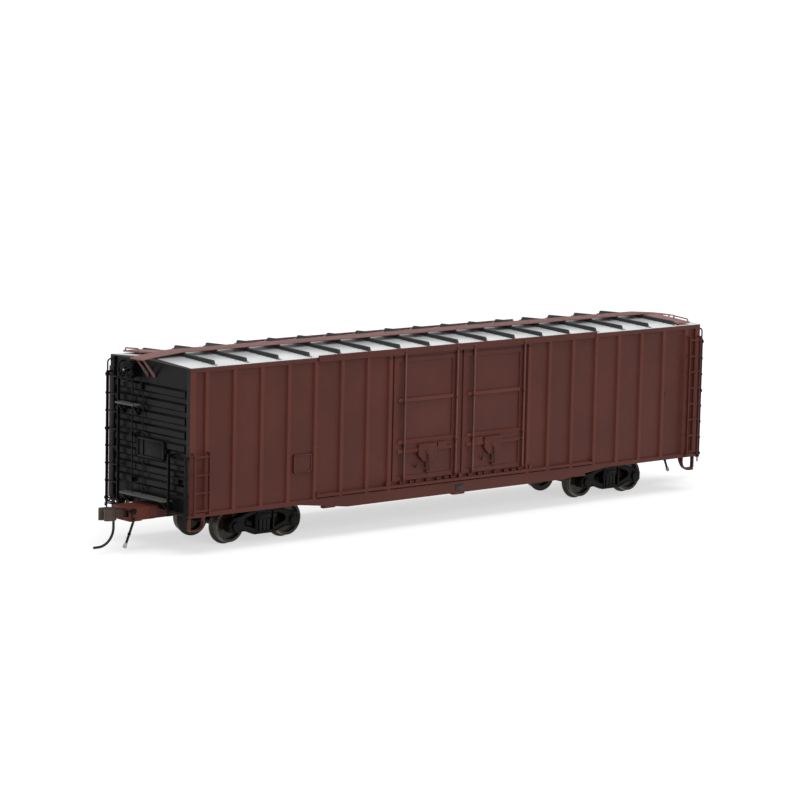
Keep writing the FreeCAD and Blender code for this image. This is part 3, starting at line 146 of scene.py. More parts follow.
# %% Prepare the materials
class Finish(Network):
    """One material, with helpers that add its nodes."""

    def __init__(self, name, **constants):
        self.material = bpy.data.materials.new(name)
        self.material.use_nodes = True
        super().__init__(self.material.node_tree)
        self.shader = self.tree.nodes["Principled BSDF"]
        for label, value in constants.items():
            self.shader.inputs[label.replace("_", " ")].default_value = value

    def feed(self, label, wire):
        """Join a wire to one of the shader's sockets."""
        self.tree.links.new(wire.socket, self.shader.inputs[label])

    def spot(self):
        """Where a point lies on its object."""
        return self.node("ShaderNodeTexCoord", output="Object")

    def millimetres(self):
        """The three coordinates of a point, in millimetres."""
        split = self.node("ShaderNodeSeparateXYZ", {0: self.spot()}).socket.node
        return [Wire(self, output) * 1000 for output in split.outputs]

    def grain(self, scale, detail=3.0, stretch=(1, 1, 1)):
        """Soft noise from 0 to 1; the scale is in spots per metre."""
        place = self.node("ShaderNodeMapping", {"Vector": self.spot(), "Scale": stretch})
        noise = {"Vector": place, "Scale": scale, "Detail": detail, "Roughness": 0.6}
        return self.node("ShaderNodeTexNoise", noise)

    def smooth(self, value, low, high, start=0.0, end=1.0):
        """A value squeezed from one range into another."""
        ranges = {0: value, 1: low, 2: high, 3: start, 4: end}
        return self.node("ShaderNodeMapRange", ranges, {"interpolation_type": "SMOOTHSTEP"})

    def mix(self, factor, first, second):
        """Two colours mixed."""
        inputs = {0: factor}
        for index, colour in ((6, first), (7, second)):
            inputs[index] = (*colour, 1) if isinstance(colour, tuple) else colour
        return self.node("ShaderNodeMix", inputs, {"data_type": "RGBA"}, 2)

    def rounded(self, radius):
        """A normal that runs round sharp edges, as paint does."""
        return self.node("ShaderNodeBevel", {"Radius": radius * MM}, {"samples": 4})

    def edges(self, radius):
        """A mask that is high along sharp edges."""
        soft = self.rounded(radius)
        flat = self.node("ShaderNodeNewGeometry", output="Normal")
        product = {"operation": "DOT_PRODUCT"}
        match = self.node("ShaderNodeVectorMath", {0: soft, 1: flat}, product, "Value")
        return self.smooth(1 - match, 0.005, 0.12)

    def skin(self, scale, depth, radius):
        """A fine relief on a rounded normal that feeds the shader."""
        inputs = {"Height": self.grain(scale, 2), "Distance": depth * MM}
        inputs["Normal"] = self.rounded(radius)
        self.feed("Normal", self.node("ShaderNodeBump", inputs))


print("prepared", Finish.__name__)

# %% [markdown]
# A catalogue picture has a floor and a background that are both white, and a soft shadow
# under the wheels. The floor is pale grey paint with a little light of its own that only
# the camera and mirrors see, so the lamps can stay at a plain level.

# %% Lay the floor
WHITE = (1, 1, 1, 1)
FAR = 15
floor_finish = Finish(
    "studio_floor", Base_Color=(0.55, 0.55, 0.55, 1), Roughness=0.9,
    Specular_IOR_Level=0.0, Emission_Color=WHITE,
)
seen, mirrored, through = (
    floor_finish.node("ShaderNodeLightPath", output=f"Is {kind} Ray")
    for kind in ("Camera", "Glossy", "Transmission")
)
x, y, z = floor_finish.millimetres()
distance = (x * x + y * y).root()
strength = floor_finish.smooth(distance, 400, 1500, 0.60, 0.80)
floor_finish.feed("Emission Strength", seen.or_more(mirrored).or_more(through) * strength)
floor_mesh = bpy.data.meshes.new("studio_floor")
square = [(-FAR, -FAR, 0), (FAR, -FAR, 0), (FAR, FAR, 0), (-FAR, FAR, 0)]
floor_mesh.from_pydata(square, [], [(0, 1, 2, 3)])
floor_mesh.materials.append(floor_finish.material)
add("studio_floor", floor_mesh)
print("floor", len(floor_mesh.vertices), "corners")

# %% Light the studio
world = bpy.data.worlds.new("studio")
scene.world = world
world.use_nodes = True
sky = Network(world.node_tree)
ground = sky.tree.nodes["Background"]
ground.inputs["Color"].default_value = WHITE
ground.inputs["Strength"].default_value = 0.45
path = sky.node("ShaderNodeLightPath", output="Is Camera Ray")
white = sky.node("ShaderNodeBackground", {"Color": WHITE})
choose = sky.node("ShaderNodeMixShader", {0: path, 1: Wire(sky, ground.outputs[0]), 2: white})
sky.tree.links.new(choose.socket, sky.tree.nodes["World Output"].inputs["Surface"])


def lamp(name, place, target, size, power):
    """A square soft box that faces a target."""
    light = bpy.data.lights.new(name, "AREA")
    light.shape = "RECTANGLE"
    light.size, light.size_y = size
    light.energy = power
    holder = add(name, light)
    holder.location = place
    aim = Vector(target) - Vector(place)
    holder.rotation_euler = aim.to_track_quat("-Z", "Y").to_euler()


lamp("overhead_box", (0.0, -0.1, 0.9), (0, 0, 0), (1.2, 0.8), 6.0)
lamp("front_box", (-0.15, -1.1, 0.5), (0, 0, 0.03), (0.9, 0.6), 4.2)

# %% [markdown]
# The sides are moulded in plastic and sprayed with a satin oxide brown. Sprayed paint is
# thin on sharp edges, and light catches them, so posts and ribs show a redder, lighter line
# there: part wear, part painted highlight. The mask for that line compares the true normal
# with one that runs round the edge. More masks paint a highlight on the crowns of the posts
# and paint light on the parts beyond the end walls, paint the shadow under the upper door
# track over the doors, and make the edges of the sides black where the end's colour wraps
# round them. Trip pins are dark, hose cocks brown.

# %% Mix the paints
def paint(name, colour, edge, edge_wear_and_highlight, rough, shine):
    """Sprayed paint with worn edges that also carry a painted highlight, faint mottling and a fine
    skin.
    """
    made = Finish(name, Specular_IOR_Level=shine)
    dark, light = (tuple(value * share for value in colour) for share in (0.9, 1.1))
    base = made.mix(made.smooth(made.grain(60, 4), 0.3, 0.7), dark, light)
    # The edge line is partly worn paint and partly a painted highlight on sharp edges.
    made.tone = made.mix(made.edges(0.16) * edge_wear_and_highlight, base, edge)
    made.feed("Base Color", made.tone)
    made.feed("Roughness", made.smooth(made.grain(900, 2), 0.2, 0.8, rough - 0.06, rough + 0.06))
    made.skin(5000, 0.004, 0.1)
    return made


# name, colour, edge colour for wear and painted highlight, share of edge wear and painted highlight,
# roughness, shine
PAINTS = (
    ("body_brown", (0.093, 0.0255, 0.0188), (0.19, 0.042, 0.026), 0.9, 0.45, 0.2),
    ("end_black", (0.0035, 0.0036, 0.0036), (0.022, 0.022, 0.022), 0.8, 0.34, 0.12),
    ("frame_black", (0.0042, 0.0038, 0.0036), (0.017, 0.015, 0.014), 0.7, 0.42, 0.12),
    ("step_metal", (0.11, 0.11, 0.10), (0.30, 0.30, 0.28), 0.5, 0.4, 0.25),
    # Roof walk: the body brown made lighter and pinker, painted light where the walk catches light from
    # above.
    ("walkway_brown", (0.255, 0.125, 0.117), (0.38, 0.22, 0.21), 0.5, 0.5, 0.25),
    # Lock rods: the body brown made lighter, a painted highlight along the round rods.
    ("rod_brown", (0.150, 0.062, 0.052), (0.22, 0.095, 0.08), 0.5, 0.4, 0.25),
    # Levers, cranks and rollers: the body brown made darker, a painted shade.
    ("lever_brown", (0.055, 0.018, 0.013), (0.09, 0.032, 0.024), 0.5, 0.5, 0.25),
    ("rib_tip", (0.26, 0.25, 0.24), (0.42, 0.41, 0.39), 0.5, 0.4, 0.25),
    ("coupler_dark", (0.082, 0.056, 0.044), (0.17, 0.125, 0.10), 0.5, 0.4, 0.25),
    ("hose_black", (0.006, 0.006, 0.0065), (0.02, 0.02, 0.02), 0.5, 0.5, 0.2),
    ("ballast_steel", (0.3, 0.3, 0.31), (0.5, 0.5, 0.5), 0.5, 0.35, 0.25),
    ("bright_metal", (0.42, 0.41, 0.39), (0.65, 0.64, 0.61), 0.5, 0.35, 0.5),
    ("label_black", (0.008, 0.008, 0.009), (0.012, 0.012, 0.012), 0.2, 0.3, 0.4),
    ("spring_steel", (0.010, 0.009, 0.008), (0.05, 0.045, 0.04), 0.5, 0.4, 0.3),
)
finishes = {row[0]: paint(*row) for row in PAINTS}
PAINTED_LIGHT_BROWN, TRACK_SHADOW_BROWN, CAP_BLACK = (0.165, 0.040, 0.026), (0.022, 0.006, 0.004), (0.005, 0.005, 0.005)
body = finishes["body_brown"]
x, y, z = body.millimetres()
facing = body.node("ShaderNodeTexCoord", output="Normal")
sideways = body.node("ShaderNodeSeparateXYZ", {0: facing})
# Painted highlight along the crowns of the posts, and painted light on the parts beyond the end walls.
post_crown_highlight = (abs(y) > 18.1) * (abs(y) < 18.3) * (abs(x) < 97.9) * (z > 11.8) * (z < 50.1) * 0.35
end_parts_painted_light = (abs(x) > 98.0) * 0.6
painted_light_tone = body.mix(post_crown_highlight.or_more(end_parts_painted_light), body.tone, PAINTED_LIGHT_BROWN)
# Painted shadow: a dark band under the upper door track over each door.
upper_track_shadow = (abs(x) < 27.4) * (z > 49.0) * (z < 49.6) * (abs(y) > 17.0) * 0.6
capped = (abs(sideways) > 0.6) * (abs(x) > 97.6) * (z > 11.0) * (abs(y) > 16.0)
lining = (abs(x) > 97.0) * (abs(x) < 98.0) * (abs(y) < 17.0) * (z > 12.4)
body.feed("Base Color", body.mix(capped.or_more(lining), body.mix(upper_track_shadow, painted_light_tone, TRACK_SHADOW_BROWN), CAP_BLACK))
PIN_TOP, COCK_FOOT = 8.6, 8.3
made = finishes["coupler_dark"]
pin = made.millimetres()[2] < PIN_TOP
made.feed("Base Color", made.mix(pin, made.tone, (0.012, 0.010, 0.009)))
made = finishes["hose_black"]
cock = made.millimetres()[2] > COCK_FOOT
made.feed("Base Color", made.mix(cock, made.tone, (0.070, 0.022, 0.016)))
print("paints", len(finishes))

# %% [markdown]
# The roof is one moulding in two colours: panels that look like bare metal, and dark
# standing ribs. A mask from the height above the roof plane tells them apart. The wheels
# are blackened metal, and a mask from the distance to their axle leaves the rolling
# surface and the lip of the rim bright.

# %% Mix the roof and the wheels
EAVE, CROWN, HALF_WIDTH, HALF_LENGTH = 51.39, 52.44, 18.24, 97.8
TRUCK_X, AXLE_X, WHEEL_Z = 67.05, 10.1, 5.455
roof = Finish("roof_silver")
x, y, z = roof.millimetres()
rib = z - (CROWN - abs(y) * ((CROWN - EAVE) / HALF_WIDTH)) > 0.06
trim = (abs(x) > HALF_LENGTH - 0.35).or_more(abs(y) > HALF_WIDTH - 0.12)
streak = roof.smooth(roof.grain(120, 4, (1, 0.15, 1)), 0.25, 0.75)
pale = roof.mix(streak, (0.74, 0.75, 0.76), (0.88, 0.885, 0.89))
# Painted shade: the panels turn darker grey towards the ridge, under the roof walk.
panel_with_painted_shade = roof.mix(roof.smooth(abs(y), 13.5, 4.0), pale, (0.42, 0.435, 0.45))
# The lighter edges of the ribs are partly wear and partly a painted highlight.
black = roof.mix(roof.edges(0.12) * 0.5, (0.018, 0.022, 0.019), (0.055, 0.06, 0.054))
roof.feed("Base Color", roof.mix(trim, roof.mix(rib, panel_with_painted_shade, black), (0.03, 0.018, 0.016)))
roof.feed("Roughness", roof.smooth(rib, 0, 1, 0.32, 0.5))
roof.skin(3000, 0.004, 0.1)

metal = Finish("wheel_metal", Specular_IOR_Level=0.3)
x, y, z = metal.millimetres()
along = abs(abs(x) - TRUCK_X) - AXLE_X
height = z - WHEEL_Z
radius = (along * along + height * height).root()
normal = metal.node("ShaderNodeNewGeometry", output="Normal")
outward = metal.node("ShaderNodeSeparateXYZ", {0: normal}, output=1)
rolling = (radius > 4.70) * (abs(outward) < 0.4)
lip = metal.smooth(radius, 4.42, 4.55) * metal.smooth(radius, 4.85, 4.70)
bare = (rolling * 0.12).or_more(lip * metal.edges(0.12))
cloud, speck = (metal.smooth(metal.grain(*size), 0.3, 0.7) for size in ((700, 3), (1500, 2)))
web = metal.mix(cloud, (0.012, 0.008, 0.006), (0.036, 0.023, 0.015))
rim = metal.mix(speck, (0.34, 0.30, 0.25), (0.52, 0.47, 0.40))
metal.feed("Base Color", metal.mix(bare, web, rim))
metal.feed("Metallic", bare * 0.9)
metal.feed("Roughness", metal.smooth(bare, 0, 1, 0.27, 0.22))
metal.skin(4000, 0.005, 0.08)
finishes.update(roof_silver=roof, wheel_metal=metal)
for subpart in frame["record"]["subparts"]:
    node = nodes[subpart["node"]]
    finish = finishes[subpart["material_slot"]].material
    if not node.material_slots:
        node.data.materials.append(finish)
    for holder in node.material_slots:
        holder.material = finish
print("finishes", len(finishes))

# %% [markdown]
# The fittings are small hard mouldings, etched plates and bent wires. A Shape gathers such
# solids into one mesh, in millimetres in the car's own frame. Each solid is closed, its
# faces are turned outwards, and its edges get a small bevel that catches the light.

# %% Build solids
def half_turn(point):
    """A point turned half round the car's middle."""
    return Vector((-point[0], -point[1], point[2]))


def lift(pair, level, axis):
    """A flat point as a point in space, at a level along an axis."""
    point = list(pair)
    point.insert("xyz".index(axis), level)
    return Vector(point)


def leaning(place, angle):
    """A move to a place, after a lean about the cross axis."""
    return Matrix.Translation(place) @ Matrix.Rotation(angle, 4, "Y")


def join(rings, closed=False):
    """Faces between rings of points, and over both ends unless the rings close."""
    part = bmesh.new()
    rings = [[part.verts.new(point) for point in ring] for ring in rings]
    for first, second in zip(rings, rings[1:] + rings[:1] if closed else rings[1:]):
        steps = max(len(first), len(second))
        for step in range(steps):
            after = (step + 1) % steps
            quad = [(first, step), (first, after), (second, after), (second, step)]
            corners = [ring[at % len(ring)] for ring, at in quad]
            part.faces.new(list(dict.fromkeys(corners)))
    for ring in () if closed else (rings[0], rings[-1]):
        if len(ring) > 1:
            part.faces.new(ring)
    bmesh.ops.recalc_face_normals(part, faces=part.faces)
    return part


def soften(part, edges, width):
    """Round off edges, unless the width is nothing."""
    if width:
        bmesh.ops.bevel(part, geom=edges, offset=width, segments=2, profile=0.5, affect="EDGES")


class Shape:
    """Simple solids gathered into one mesh."""

    def __init__(self):
        self.corners = []
        self.faces = []

    def take(self, part, matrix=None):
        """Add the faces of a bmesh, moved by a matrix."""
        start = len(self.corners)
        part.verts.index_update()
        self.corners += [matrix @ vertex.co if matrix else vertex.co.copy() for vertex in part.verts]
        self.faces += [[start + vertex.index for vertex in face.verts] for face in part.faces]
        part.free()

    def block(self, near, far, edge=0.0, matrix=None):
        """A box between two opposite corners, with bevelled edges."""
        part = bmesh.new()
        bmesh.ops.create_cube(part, size=1)
        for vertex in part.verts:
            spans = zip(vertex.co, near, far)
            vertex.co = Vector([(a + b) / 2 + at * abs(b - a) for at, a, b in spans])
        soften(part, part.edges[:], edge)
        self.take(part, matrix)

    def rim(self, near, far, through, bar, edge):
        """Four bars round a box that is open along one axis."""
        for axis in {0, 1, 2} - {through}:
            for start in (near[axis], far[axis] - bar):
                low, high = list(near), list(far)
                low[axis], high[axis] = start, start + bar
                self.block(low, high, edge)

    def plate(self, outline, axis, low, high, edge=0.0):
        """A flat outline pushed along an axis from low to high, with bevelled rims."""
        part = join([[lift(pair, level, axis) for pair in outline] for level in (low, high)])
        along = "xyz".index(axis)
        rims = [e for e in part.edges if e.verts[0].co[along] == e.verts[1].co[along]]
        soften(part, rims, edge)
        self.take(part)

    def lathe(self, profile, centre, axis, steps=24, matrix=None, closed=False):
        """A profile of (along, radius) pairs turned round an axis; a closed one makes a ring."""
        rings = []
        for along, radius in profile:
            turns = [tau * step / steps for step in range(steps if radius else 1)]
            ring = [(radius * cos(turn), radius * sin(turn)) for turn in turns]
            rings.append([lift(pair, along, axis) + Vector(centre) for pair in ring])
        self.take(join(rings, closed), matrix)

    def rod(self, points, radius, bend=0.0, sides=8):
        """A round wire through points, with rounded bends."""
        route = [Vector(point) for point in points]
        line = [route[0]]
        for before, corner, after in zip(route, route[1:], route[2:]):
            reach = min(bend, (before - corner).length * 0.45, (after - corner).length * 0.45)
            start = corner + (before - corner).normalized() * reach
            end = corner + (after - corner).normalized() * reach
            if reach < 0.02:
                line.append(corner)
                continue
            for part in (0, 0.25, 0.5, 0.75, 1):
                line.append(start.lerp(corner, part).lerp(corner.lerp(end, part), part))
        line.append(route[-1])
        heading = (line[1] - line[0]).normalized()
        side = heading.orthogonal().normalized()
        rings = []
        turns = [tau * step / sides for step in range(sides)]
        for before, point, after in zip(line[:1] + line, line, line[1:] + line[-1:]):
            ahead = (after - before).normalized()
            side = heading.rotation_difference(ahead) @ side
            heading = ahead
            other = heading.cross(side)
            spokes = [side * cos(angle) + other * sin(angle) for angle in turns]
            rings.append([point + spoke * radius for spoke in spokes])
        self.take(join(rings))

    def turned(self):
        """Add a copy turned half round the car's middle."""
        start = len(self.corners)
        self.corners += [half_turn(corner) for corner in self.corners]
        self.faces += [[start + index for index in face] for face in self.faces]
        return self

    def done(self, name, finish, slot=None, body="carbody"):
        """Make the object and hand it to its body."""
        mesh = bpy.data.meshes.new(name)
        mesh.from_pydata([corner * MM for corner in self.corners], [], self.faces)
        return settle(name, mesh, finish, body)


def settle(name, mesh, finish, body):
    """Give a mesh its shading and its finish, and let it ride on its body."""
    mesh.materials.clear()
    mesh.materials.append(finishes[finish].material)
    mesh.shade_smooth()
    mesh.set_sharp_from_angle(angle=radians(35))
    piece = add(name, mesh)
    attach(piece, body)
    print(name, len(mesh.polygons), "faces on", body)
    return piece


print("solids ready")

# %% [markdown]
# What repeats is made by Geometry Nodes. A Recipe is the network of one geometry tree with
# named sizes. It runs on a small base mesh, its result becomes a plain mesh, and the
# modifier goes. That keeps rivet rows, grating bars, coil springs and chain links even.

# %% Prepare the geometry trees
class Recipe(Network):
    """One geometry tree with named sizes; a fraction is a length in millimetres."""

    def __init__(self, name, **sizes):
        super().__init__(bpy.data.node_groups.new(name, "GeometryNodeTree"))
        self.port("Geometry", "Geometry")
        for label, value in sizes.items():
            port = self.port(label, "Int" if isinstance(value, int) else "Float")
            port.default_value = self.metres(value)
        self.port("Material", "Material")
        self.port("Geometry", "Geometry", "OUTPUT")
        entry = self.tree.nodes.new("NodeGroupInput")
        self.given = {socket.name: Wire(self, socket) for socket in entry.outputs if socket.name}

    def port(self, label, kind, way="INPUT"):
        """A socket of the whole tree."""
        return self.tree.interface.new_socket(label, in_out=way, socket_type="NodeSocket" + kind)

    @staticmethod
    def metres(value):
        """A length in metres; a count stays as it is."""
        return value if isinstance(value, int) else value * MM

    def upright(self):
        """The turn that stands a piece up along the way its spot faces."""
        kind = {"data_type": "FLOAT_VECTOR"}
        return self.align("Z", self.node("GeometryNodeInputNamedAttribute", {"Name": "facing"}, kind))

    def align(self, axis, vector):
        """The turn that lays an axis along a vector."""
        return self.node("FunctionNodeAlignRotationToVector", {"Vector": vector}, {"axis": axis})

    def circle(self, radius, sides):
        """A round curve with a number of corners."""
        return self.node("GeometryNodeCurvePrimitiveCircle", {"Resolution": sides, "Radius": radius})

    def tube(self, curve, radius, sides):
        """Round wire along a curve."""
        inputs = {"Curve": curve, "Profile Curve": self.circle(radius, sides), "Fill Caps": True}
        return self.node("GeometryNodeCurveToMesh", inputs)

    def copies(self, points, piece, rotation=(0, 0, 0)):
        """A piece on every point."""
        inputs = {"Points": points, "Instance": piece, "Rotation": rotation}
        return self.node("GeometryNodeInstanceOnPoints", inputs)

    def finish(self, geometry):
        """End the tree with real geometry and its material."""
        real = self.node("GeometryNodeRealizeInstances", {0: geometry})
        inputs = {"Geometry": real, "Material": self.given["Material"]}
        done = self.node("GeometryNodeSetMaterial", inputs)
        self.tree.links.new(done.socket, self.tree.nodes.new("NodeGroupOutput").inputs[0])

    def run(self, name, base, finish, slot=None, body="carbody", place=None, **sizes):
        """Evaluate the tree on a base mesh and settle the result."""
        maker = add(name + "_maker", base)
        modifier = maker.modifiers.new("recipe", "NODES")
        modifier.node_group = self.tree
        values = {label: self.metres(value) for label, value in sizes.items()}
        values["Material"] = finishes[finish].material
        for item in self.tree.interface.items_tree:
            if item.in_out == "INPUT" and item.name in values:
                modifier[item.identifier] = values[item.name]
        ready = maker.evaluated_get(bpy.context.evaluated_depsgraph_get())
        mesh = bpy.data.meshes.new_from_object(ready)
        maker.modifiers.clear()
        bpy.data.objects.remove(maker)
        mesh.name = name
        if place:
            mesh.transform(place)
        return settle(name, mesh, finish, body)


def spots(points, ways=(0, 0, 1), turned=False):
    """A base mesh of bare points that face one way, or each its own way."""
    ways = ways if isinstance(ways, list) else [ways] * len(points)
    if turned:
        points = points + [half_turn(point) for point in points]
        ways = ways + [half_turn(way) for way in ways]
    mesh = bpy.data.meshes.new("spots")
    mesh.from_pydata([Vector(point) * MM for point in points], [], [])
    facing = mesh.attributes.new("facing", "FLOAT_VECTOR", "POINT")
    for index, way in enumerate(ways):
        facing.data[index].vector = way
    return mesh


print("trees ready")

# %% Studs, gratings, springs and chains
studs = Recipe("studs", Radius=0.2, Height=0.1, Sides=8)
given = studs.given
head = studs.node("GeometryNodeMeshCone", {
    "Vertices": given["Sides"], "Depth": given["Height"],
    "Radius Top": given["Radius"] * 0.6, "Radius Bottom": given["Radius"],
})
studs.finish(studs.copies(given["Geometry"], head, studs.upright()))

grating = Recipe("grating", Length=10.0, Width=5.0, Pitch=0.8, Bar=0.2, Height=0.2)
given = grating.given
sheets = grating.node("GeometryNodeJoinGeometry")
for axis, run_along, run_across in ((0, "Length", "Width"), (1, "Width", "Length")):
    long, wide, pitch, bar = (given[label] for label in (run_along, run_across, "Pitch", "Bar"))
    count = floor((long - bar) / pitch) + 1
    step = grating.node("ShaderNodeCombineXYZ", {axis: pitch})
    start = grating.node("ShaderNodeCombineXYZ", {axis: (count - 1) * pitch * -0.5})
    inputs = {"Count": count, "Start Location": start, "Offset": step}
    line = grating.node("GeometryNodeMeshLine", inputs, {"mode": "OFFSET"})
    size = grating.node("ShaderNodeCombineXYZ", {axis: bar, 1 - axis: wide, 2: given["Height"]})
    rows = grating.copies(line, grating.node("GeometryNodeMeshCube", {"Size": size}))
    grating.tree.links.new(rows.socket, sheets.socket.node.inputs[0])
grating.finish(sheets)

coils = Recipe("coils", Radius=0.6, Wire=0.12, Height=3.0, Turns=5)
given = coils.given
spiral = coils.node("GeometryNodeCurveSpiral", {
    "Resolution": 16, "Rotations": given["Turns"], "Height": given["Height"],
    "Start Radius": given["Radius"], "End Radius": given["Radius"],
})
spring = coils.tube(spiral, given["Wire"], 6)
coils.finish(coils.copies(given["Geometry"], spring, coils.upright()))

chain = Recipe("chain", Pitch=0.6, Wire=0.1, Link=0.28)
given = chain.given
route = chain.node("GeometryNodeMeshToCurve", {0: given["Geometry"]})
inputs = {"Curve": route, "Length": given["Pitch"]}
steps = chain.node("GeometryNodeResampleCurve", inputs, {"mode": "LENGTH"})
ring = chain.circle(given["Link"], 12)
oval = chain.node("GeometryNodeTransform", {"Geometry": ring, "Scale": (0.75, 1.5, 1)})
link = chain.tube(oval, given["Wire"], 5)
ahead = chain.align("Y", chain.node("GeometryNodeInputTangent"))
odd = chain.node("GeometryNodeInputIndex") % 2
angle = chain.node("ShaderNodeCombineXYZ", {1: odd * (pi / 2)})
quarter = chain.node("FunctionNodeEulerToRotation", {0: angle})
inputs = {"Rotation": ahead, "Rotate By": quarter}
twist = chain.node("FunctionNodeRotateRotation", inputs, {"rotation_space": "LOCAL"})
chain.finish(chain.copies(steps, link, twist))
print("recipes", [recipe.tree.name for recipe in (studs, grating, coils, chain)])

# %% [markdown]
# The hand brake is at one end only. Its wheel is a thin ring with dished spokes and a
# pale grey nut that paints the glint at the hub, so it is built as a hoop, five bent wires
# and a turned hub. Below it hang the rod of the CAD model and a short chain that runs to the
# brake gear under the floor.

# %% Hand brake
BRAKE_Y, BRAKE_Z, SPOKES = 7.9, 48.4, 5
HOOP, HOOP_WIRE = 3.05, 0.24
tilts = [tau * side / 8 for side in range(8)]
section = [(HOOP_WIRE * sin(tilt), HOOP + HOOP_WIRE * cos(tilt)) for tilt in tilts]
wheel = Shape()
wheel.lathe(section, (-100.5, BRAKE_Y, BRAKE_Z), "x", 40, closed=True)
for spoke in range(SPOKES):
    angle = tau * (spoke + 0.25) / SPOKES
    ray = Vector((0, cos(angle), sin(angle)))
    hub = Vector((-100.75, BRAKE_Y, BRAKE_Z))
    dish = ((0.4, 0), (1.6, 0.1), (3.0, 0.25))
    wheel.rod([hub + ray * reach + Vector((sunk, 0, 0)) for reach, sunk in dish], 0.16, 0.4)
wheel.lathe([(0.6, 0.45), (-0.15, 0.62), (-0.3, 0.55), (-0.36, 0.0)], (-100.6, BRAKE_Y, BRAKE_Z), "x")
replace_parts(wheel.done("hand_brake_wheel", "frame_black"), "brake_wheel")
# The nut is pale grey, a painted glint at the hub.
glint_nut = Shape()
glint_nut.lathe([(0.25, 0.3), (-0.1, 0.3), (-0.2, 0.2), (-0.22, 0.0)], (-100.85, BRAKE_Y, BRAKE_Z), "x", 6)
glint_nut.done("hand_brake_nut", "bright_metal", "step_metal")

gear = Shape()
gear.block((-100.35, 6.0, 46.2), (-97.9, 9.8, 46.55), 0.1)
gear.block((-100.35, 6.5, 49.6), (-99.9, 9.3, 50.1), 0.12)
gear.lathe([(0, 0.9), (-0.35, 0.85), (-0.5, 0.6), (-0.5, 0.0)], (-100.1, BRAKE_Y, BRAKE_Z), "x")
gear.rod([(-100.0, 9.6, 47.6), (-100.0, 10.7, 47.6), (-99.7, 10.9, 45.6)], 0.17, 0.4)
gear.block((-98.3, 6.2, 30.2), (-97.75, 7.8, 31.0), 0.1)
gear.block((-99.1, 6.55, 30.3), (-98.2, 7.45, 30.9), 0.12)
gear.done("hand_brake_gear", "end_black")
bolts = [(-100.25, y, z) for y in (6.6, 9.2) for z in (46.9, 49.9)]
studs.run("hand_brake_bolts", spots(bolts, (-1, 0, 0)), "frame_black", Radius=0.2, Height=0.12)
links = bpy.data.meshes.new("chain_route")
line = [(-98.4, 7.0, 17.5), (-98.5, 6.8, 15.6), (-98.2, 6.2, 13.4), (-97.4, 5.2, 12.4)]
links.from_pydata([Vector(point) * MM for point in line], [(0, 1), (1, 2), (2, 3)], [])
chain.run("hand_brake_chain", links, "frame_black", Pitch=0.6, Wire=0.08, Link=0.24)

# %% [markdown]
# Steps and crossings are open gratings in the real car, so that snow falls through.
# Here the grating tree lays bars both ways inside a thin frame, and the braces below are
# small bevelled plates.

# %% End platforms
def platform(name, replaced, low, high, top, root, turned=False):
    """A grating in a frame, with two thin braces under it."""
    front, bar, half_brace = -100.6, 0.3, 0.14
    shape = Shape()
    braces = Shape()
    shape.rim((front, low, top - 0.4), (root, high, top), 2, bar, 0.06)
    for y in (low + 1.05, high - 1.05):
        brace = [
            (root, top - 2.5), (root, top - 3.2), (root - 0.45, top - 3.2),
            (front + 0.5, top - 0.8), (front + 0.5, top - 0.4),
        ]
        braces.plate(brace, "y", y - half_brace, y + half_brace, 0.04)
        braces.block((root - bar, y - half_brace, top - 3.2), (root, y + half_brace, top - 0.4), 0.04)
    middle = Vector(((front + root) / 2, (low + high) / 2, top - 0.18))
    if turned:
        middle = half_turn(middle)
        for each in (shape, braces):
            each.corners = [half_turn(corner) for corner in each.corners]
    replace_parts(shape.done(name + "_frame", "step_metal"), replaced)
    braces.done(name + "_braces", "end_black", "step_metal")
    grating.run(
        name + "_grating", spots([(0, 0, 0)]), "step_metal", place=Matrix.Translation(middle * MM),
        Length=root - front - bar, Width=high - low - bar, Pitch=0.62, Bar=0.16, Height=0.3,
    )


platform("brake_step", "brake_platform", 3.8, 12.4, 39.1, -97.8)
platform("crossing_brake", "crossover_platform_brake", -10.0, 10.0, 14.4, -97.2)
platform("crossing_plain", "crossover_platform_plain", -10.0, 10.0, 14.4, -97.2, turned=True)

# %% [markdown]
# Each end carries a framed tack board, and the brake end also has the release valve with
# its thin pipe. Boards stay bare here, because a reusable part has no lettering.

# %% End boards, pipe and bosses
ends = Shape()
ends.block((-98.15, -7.1, 25.0), (-97.75, 4.7, 30.0), 0.08)
ends.rim((-98.4, -7.3, 24.8), (-97.9, 4.9, 30.2), 0, 0.5, 0.08)
for y in (-7.8, 5.2):
    ends.block((-98.1, y, 26.6), (-97.2, y + 0.4, 28.2), 0.06)
ends.block((-98.1, -13.6, 19.2), (-97.75, -10.4, 21.2), 0.08)
RUNG_PITCH, END_RUNG, SIDE_RUNG = 4.9, 11.4, 12.5
screw = [(0.12, 0.33), (-0.12, 0.33), (-0.2, 0.2), (-0.2, 0.0)]
for y, rungs in ((12.78, 8), (18.06, 8), (-18.06, 4), (-10.42, 4)):
    for rung in range(rungs):
        ends.lathe(screw, (-99.3, y, END_RUNG + RUNG_PITCH * rung), "x", 10)
foot = [(-0.62, 0.0), (-0.6, 0.35), (-0.4, 0.55), (0.35, 0.55), (0.5, 0.4), (0.5, 0.0)]
for z in (END_RUNG, 30.8, 46.0):
    ends.lathe(foot, (-98.9, 18.1, z), "x", 14)
ends.turned().done("end_boards", "frame_black")
pipe = Shape()
pipe.rod([(-98.25, 2.3, 13.2), (-98.25, 2.3, 42.0), (-98.25, 3.2, 43.4)], 0.17, 0.6)
valve = [(-0.9, 0.0), (-0.9, 0.5), (0.5, 0.5), (0.7, 0.3), (1.1, 0.3), (1.1, 0.0)]
pipe.lathe(valve, (-98.25, 3.4, 44.2), "z", 14)
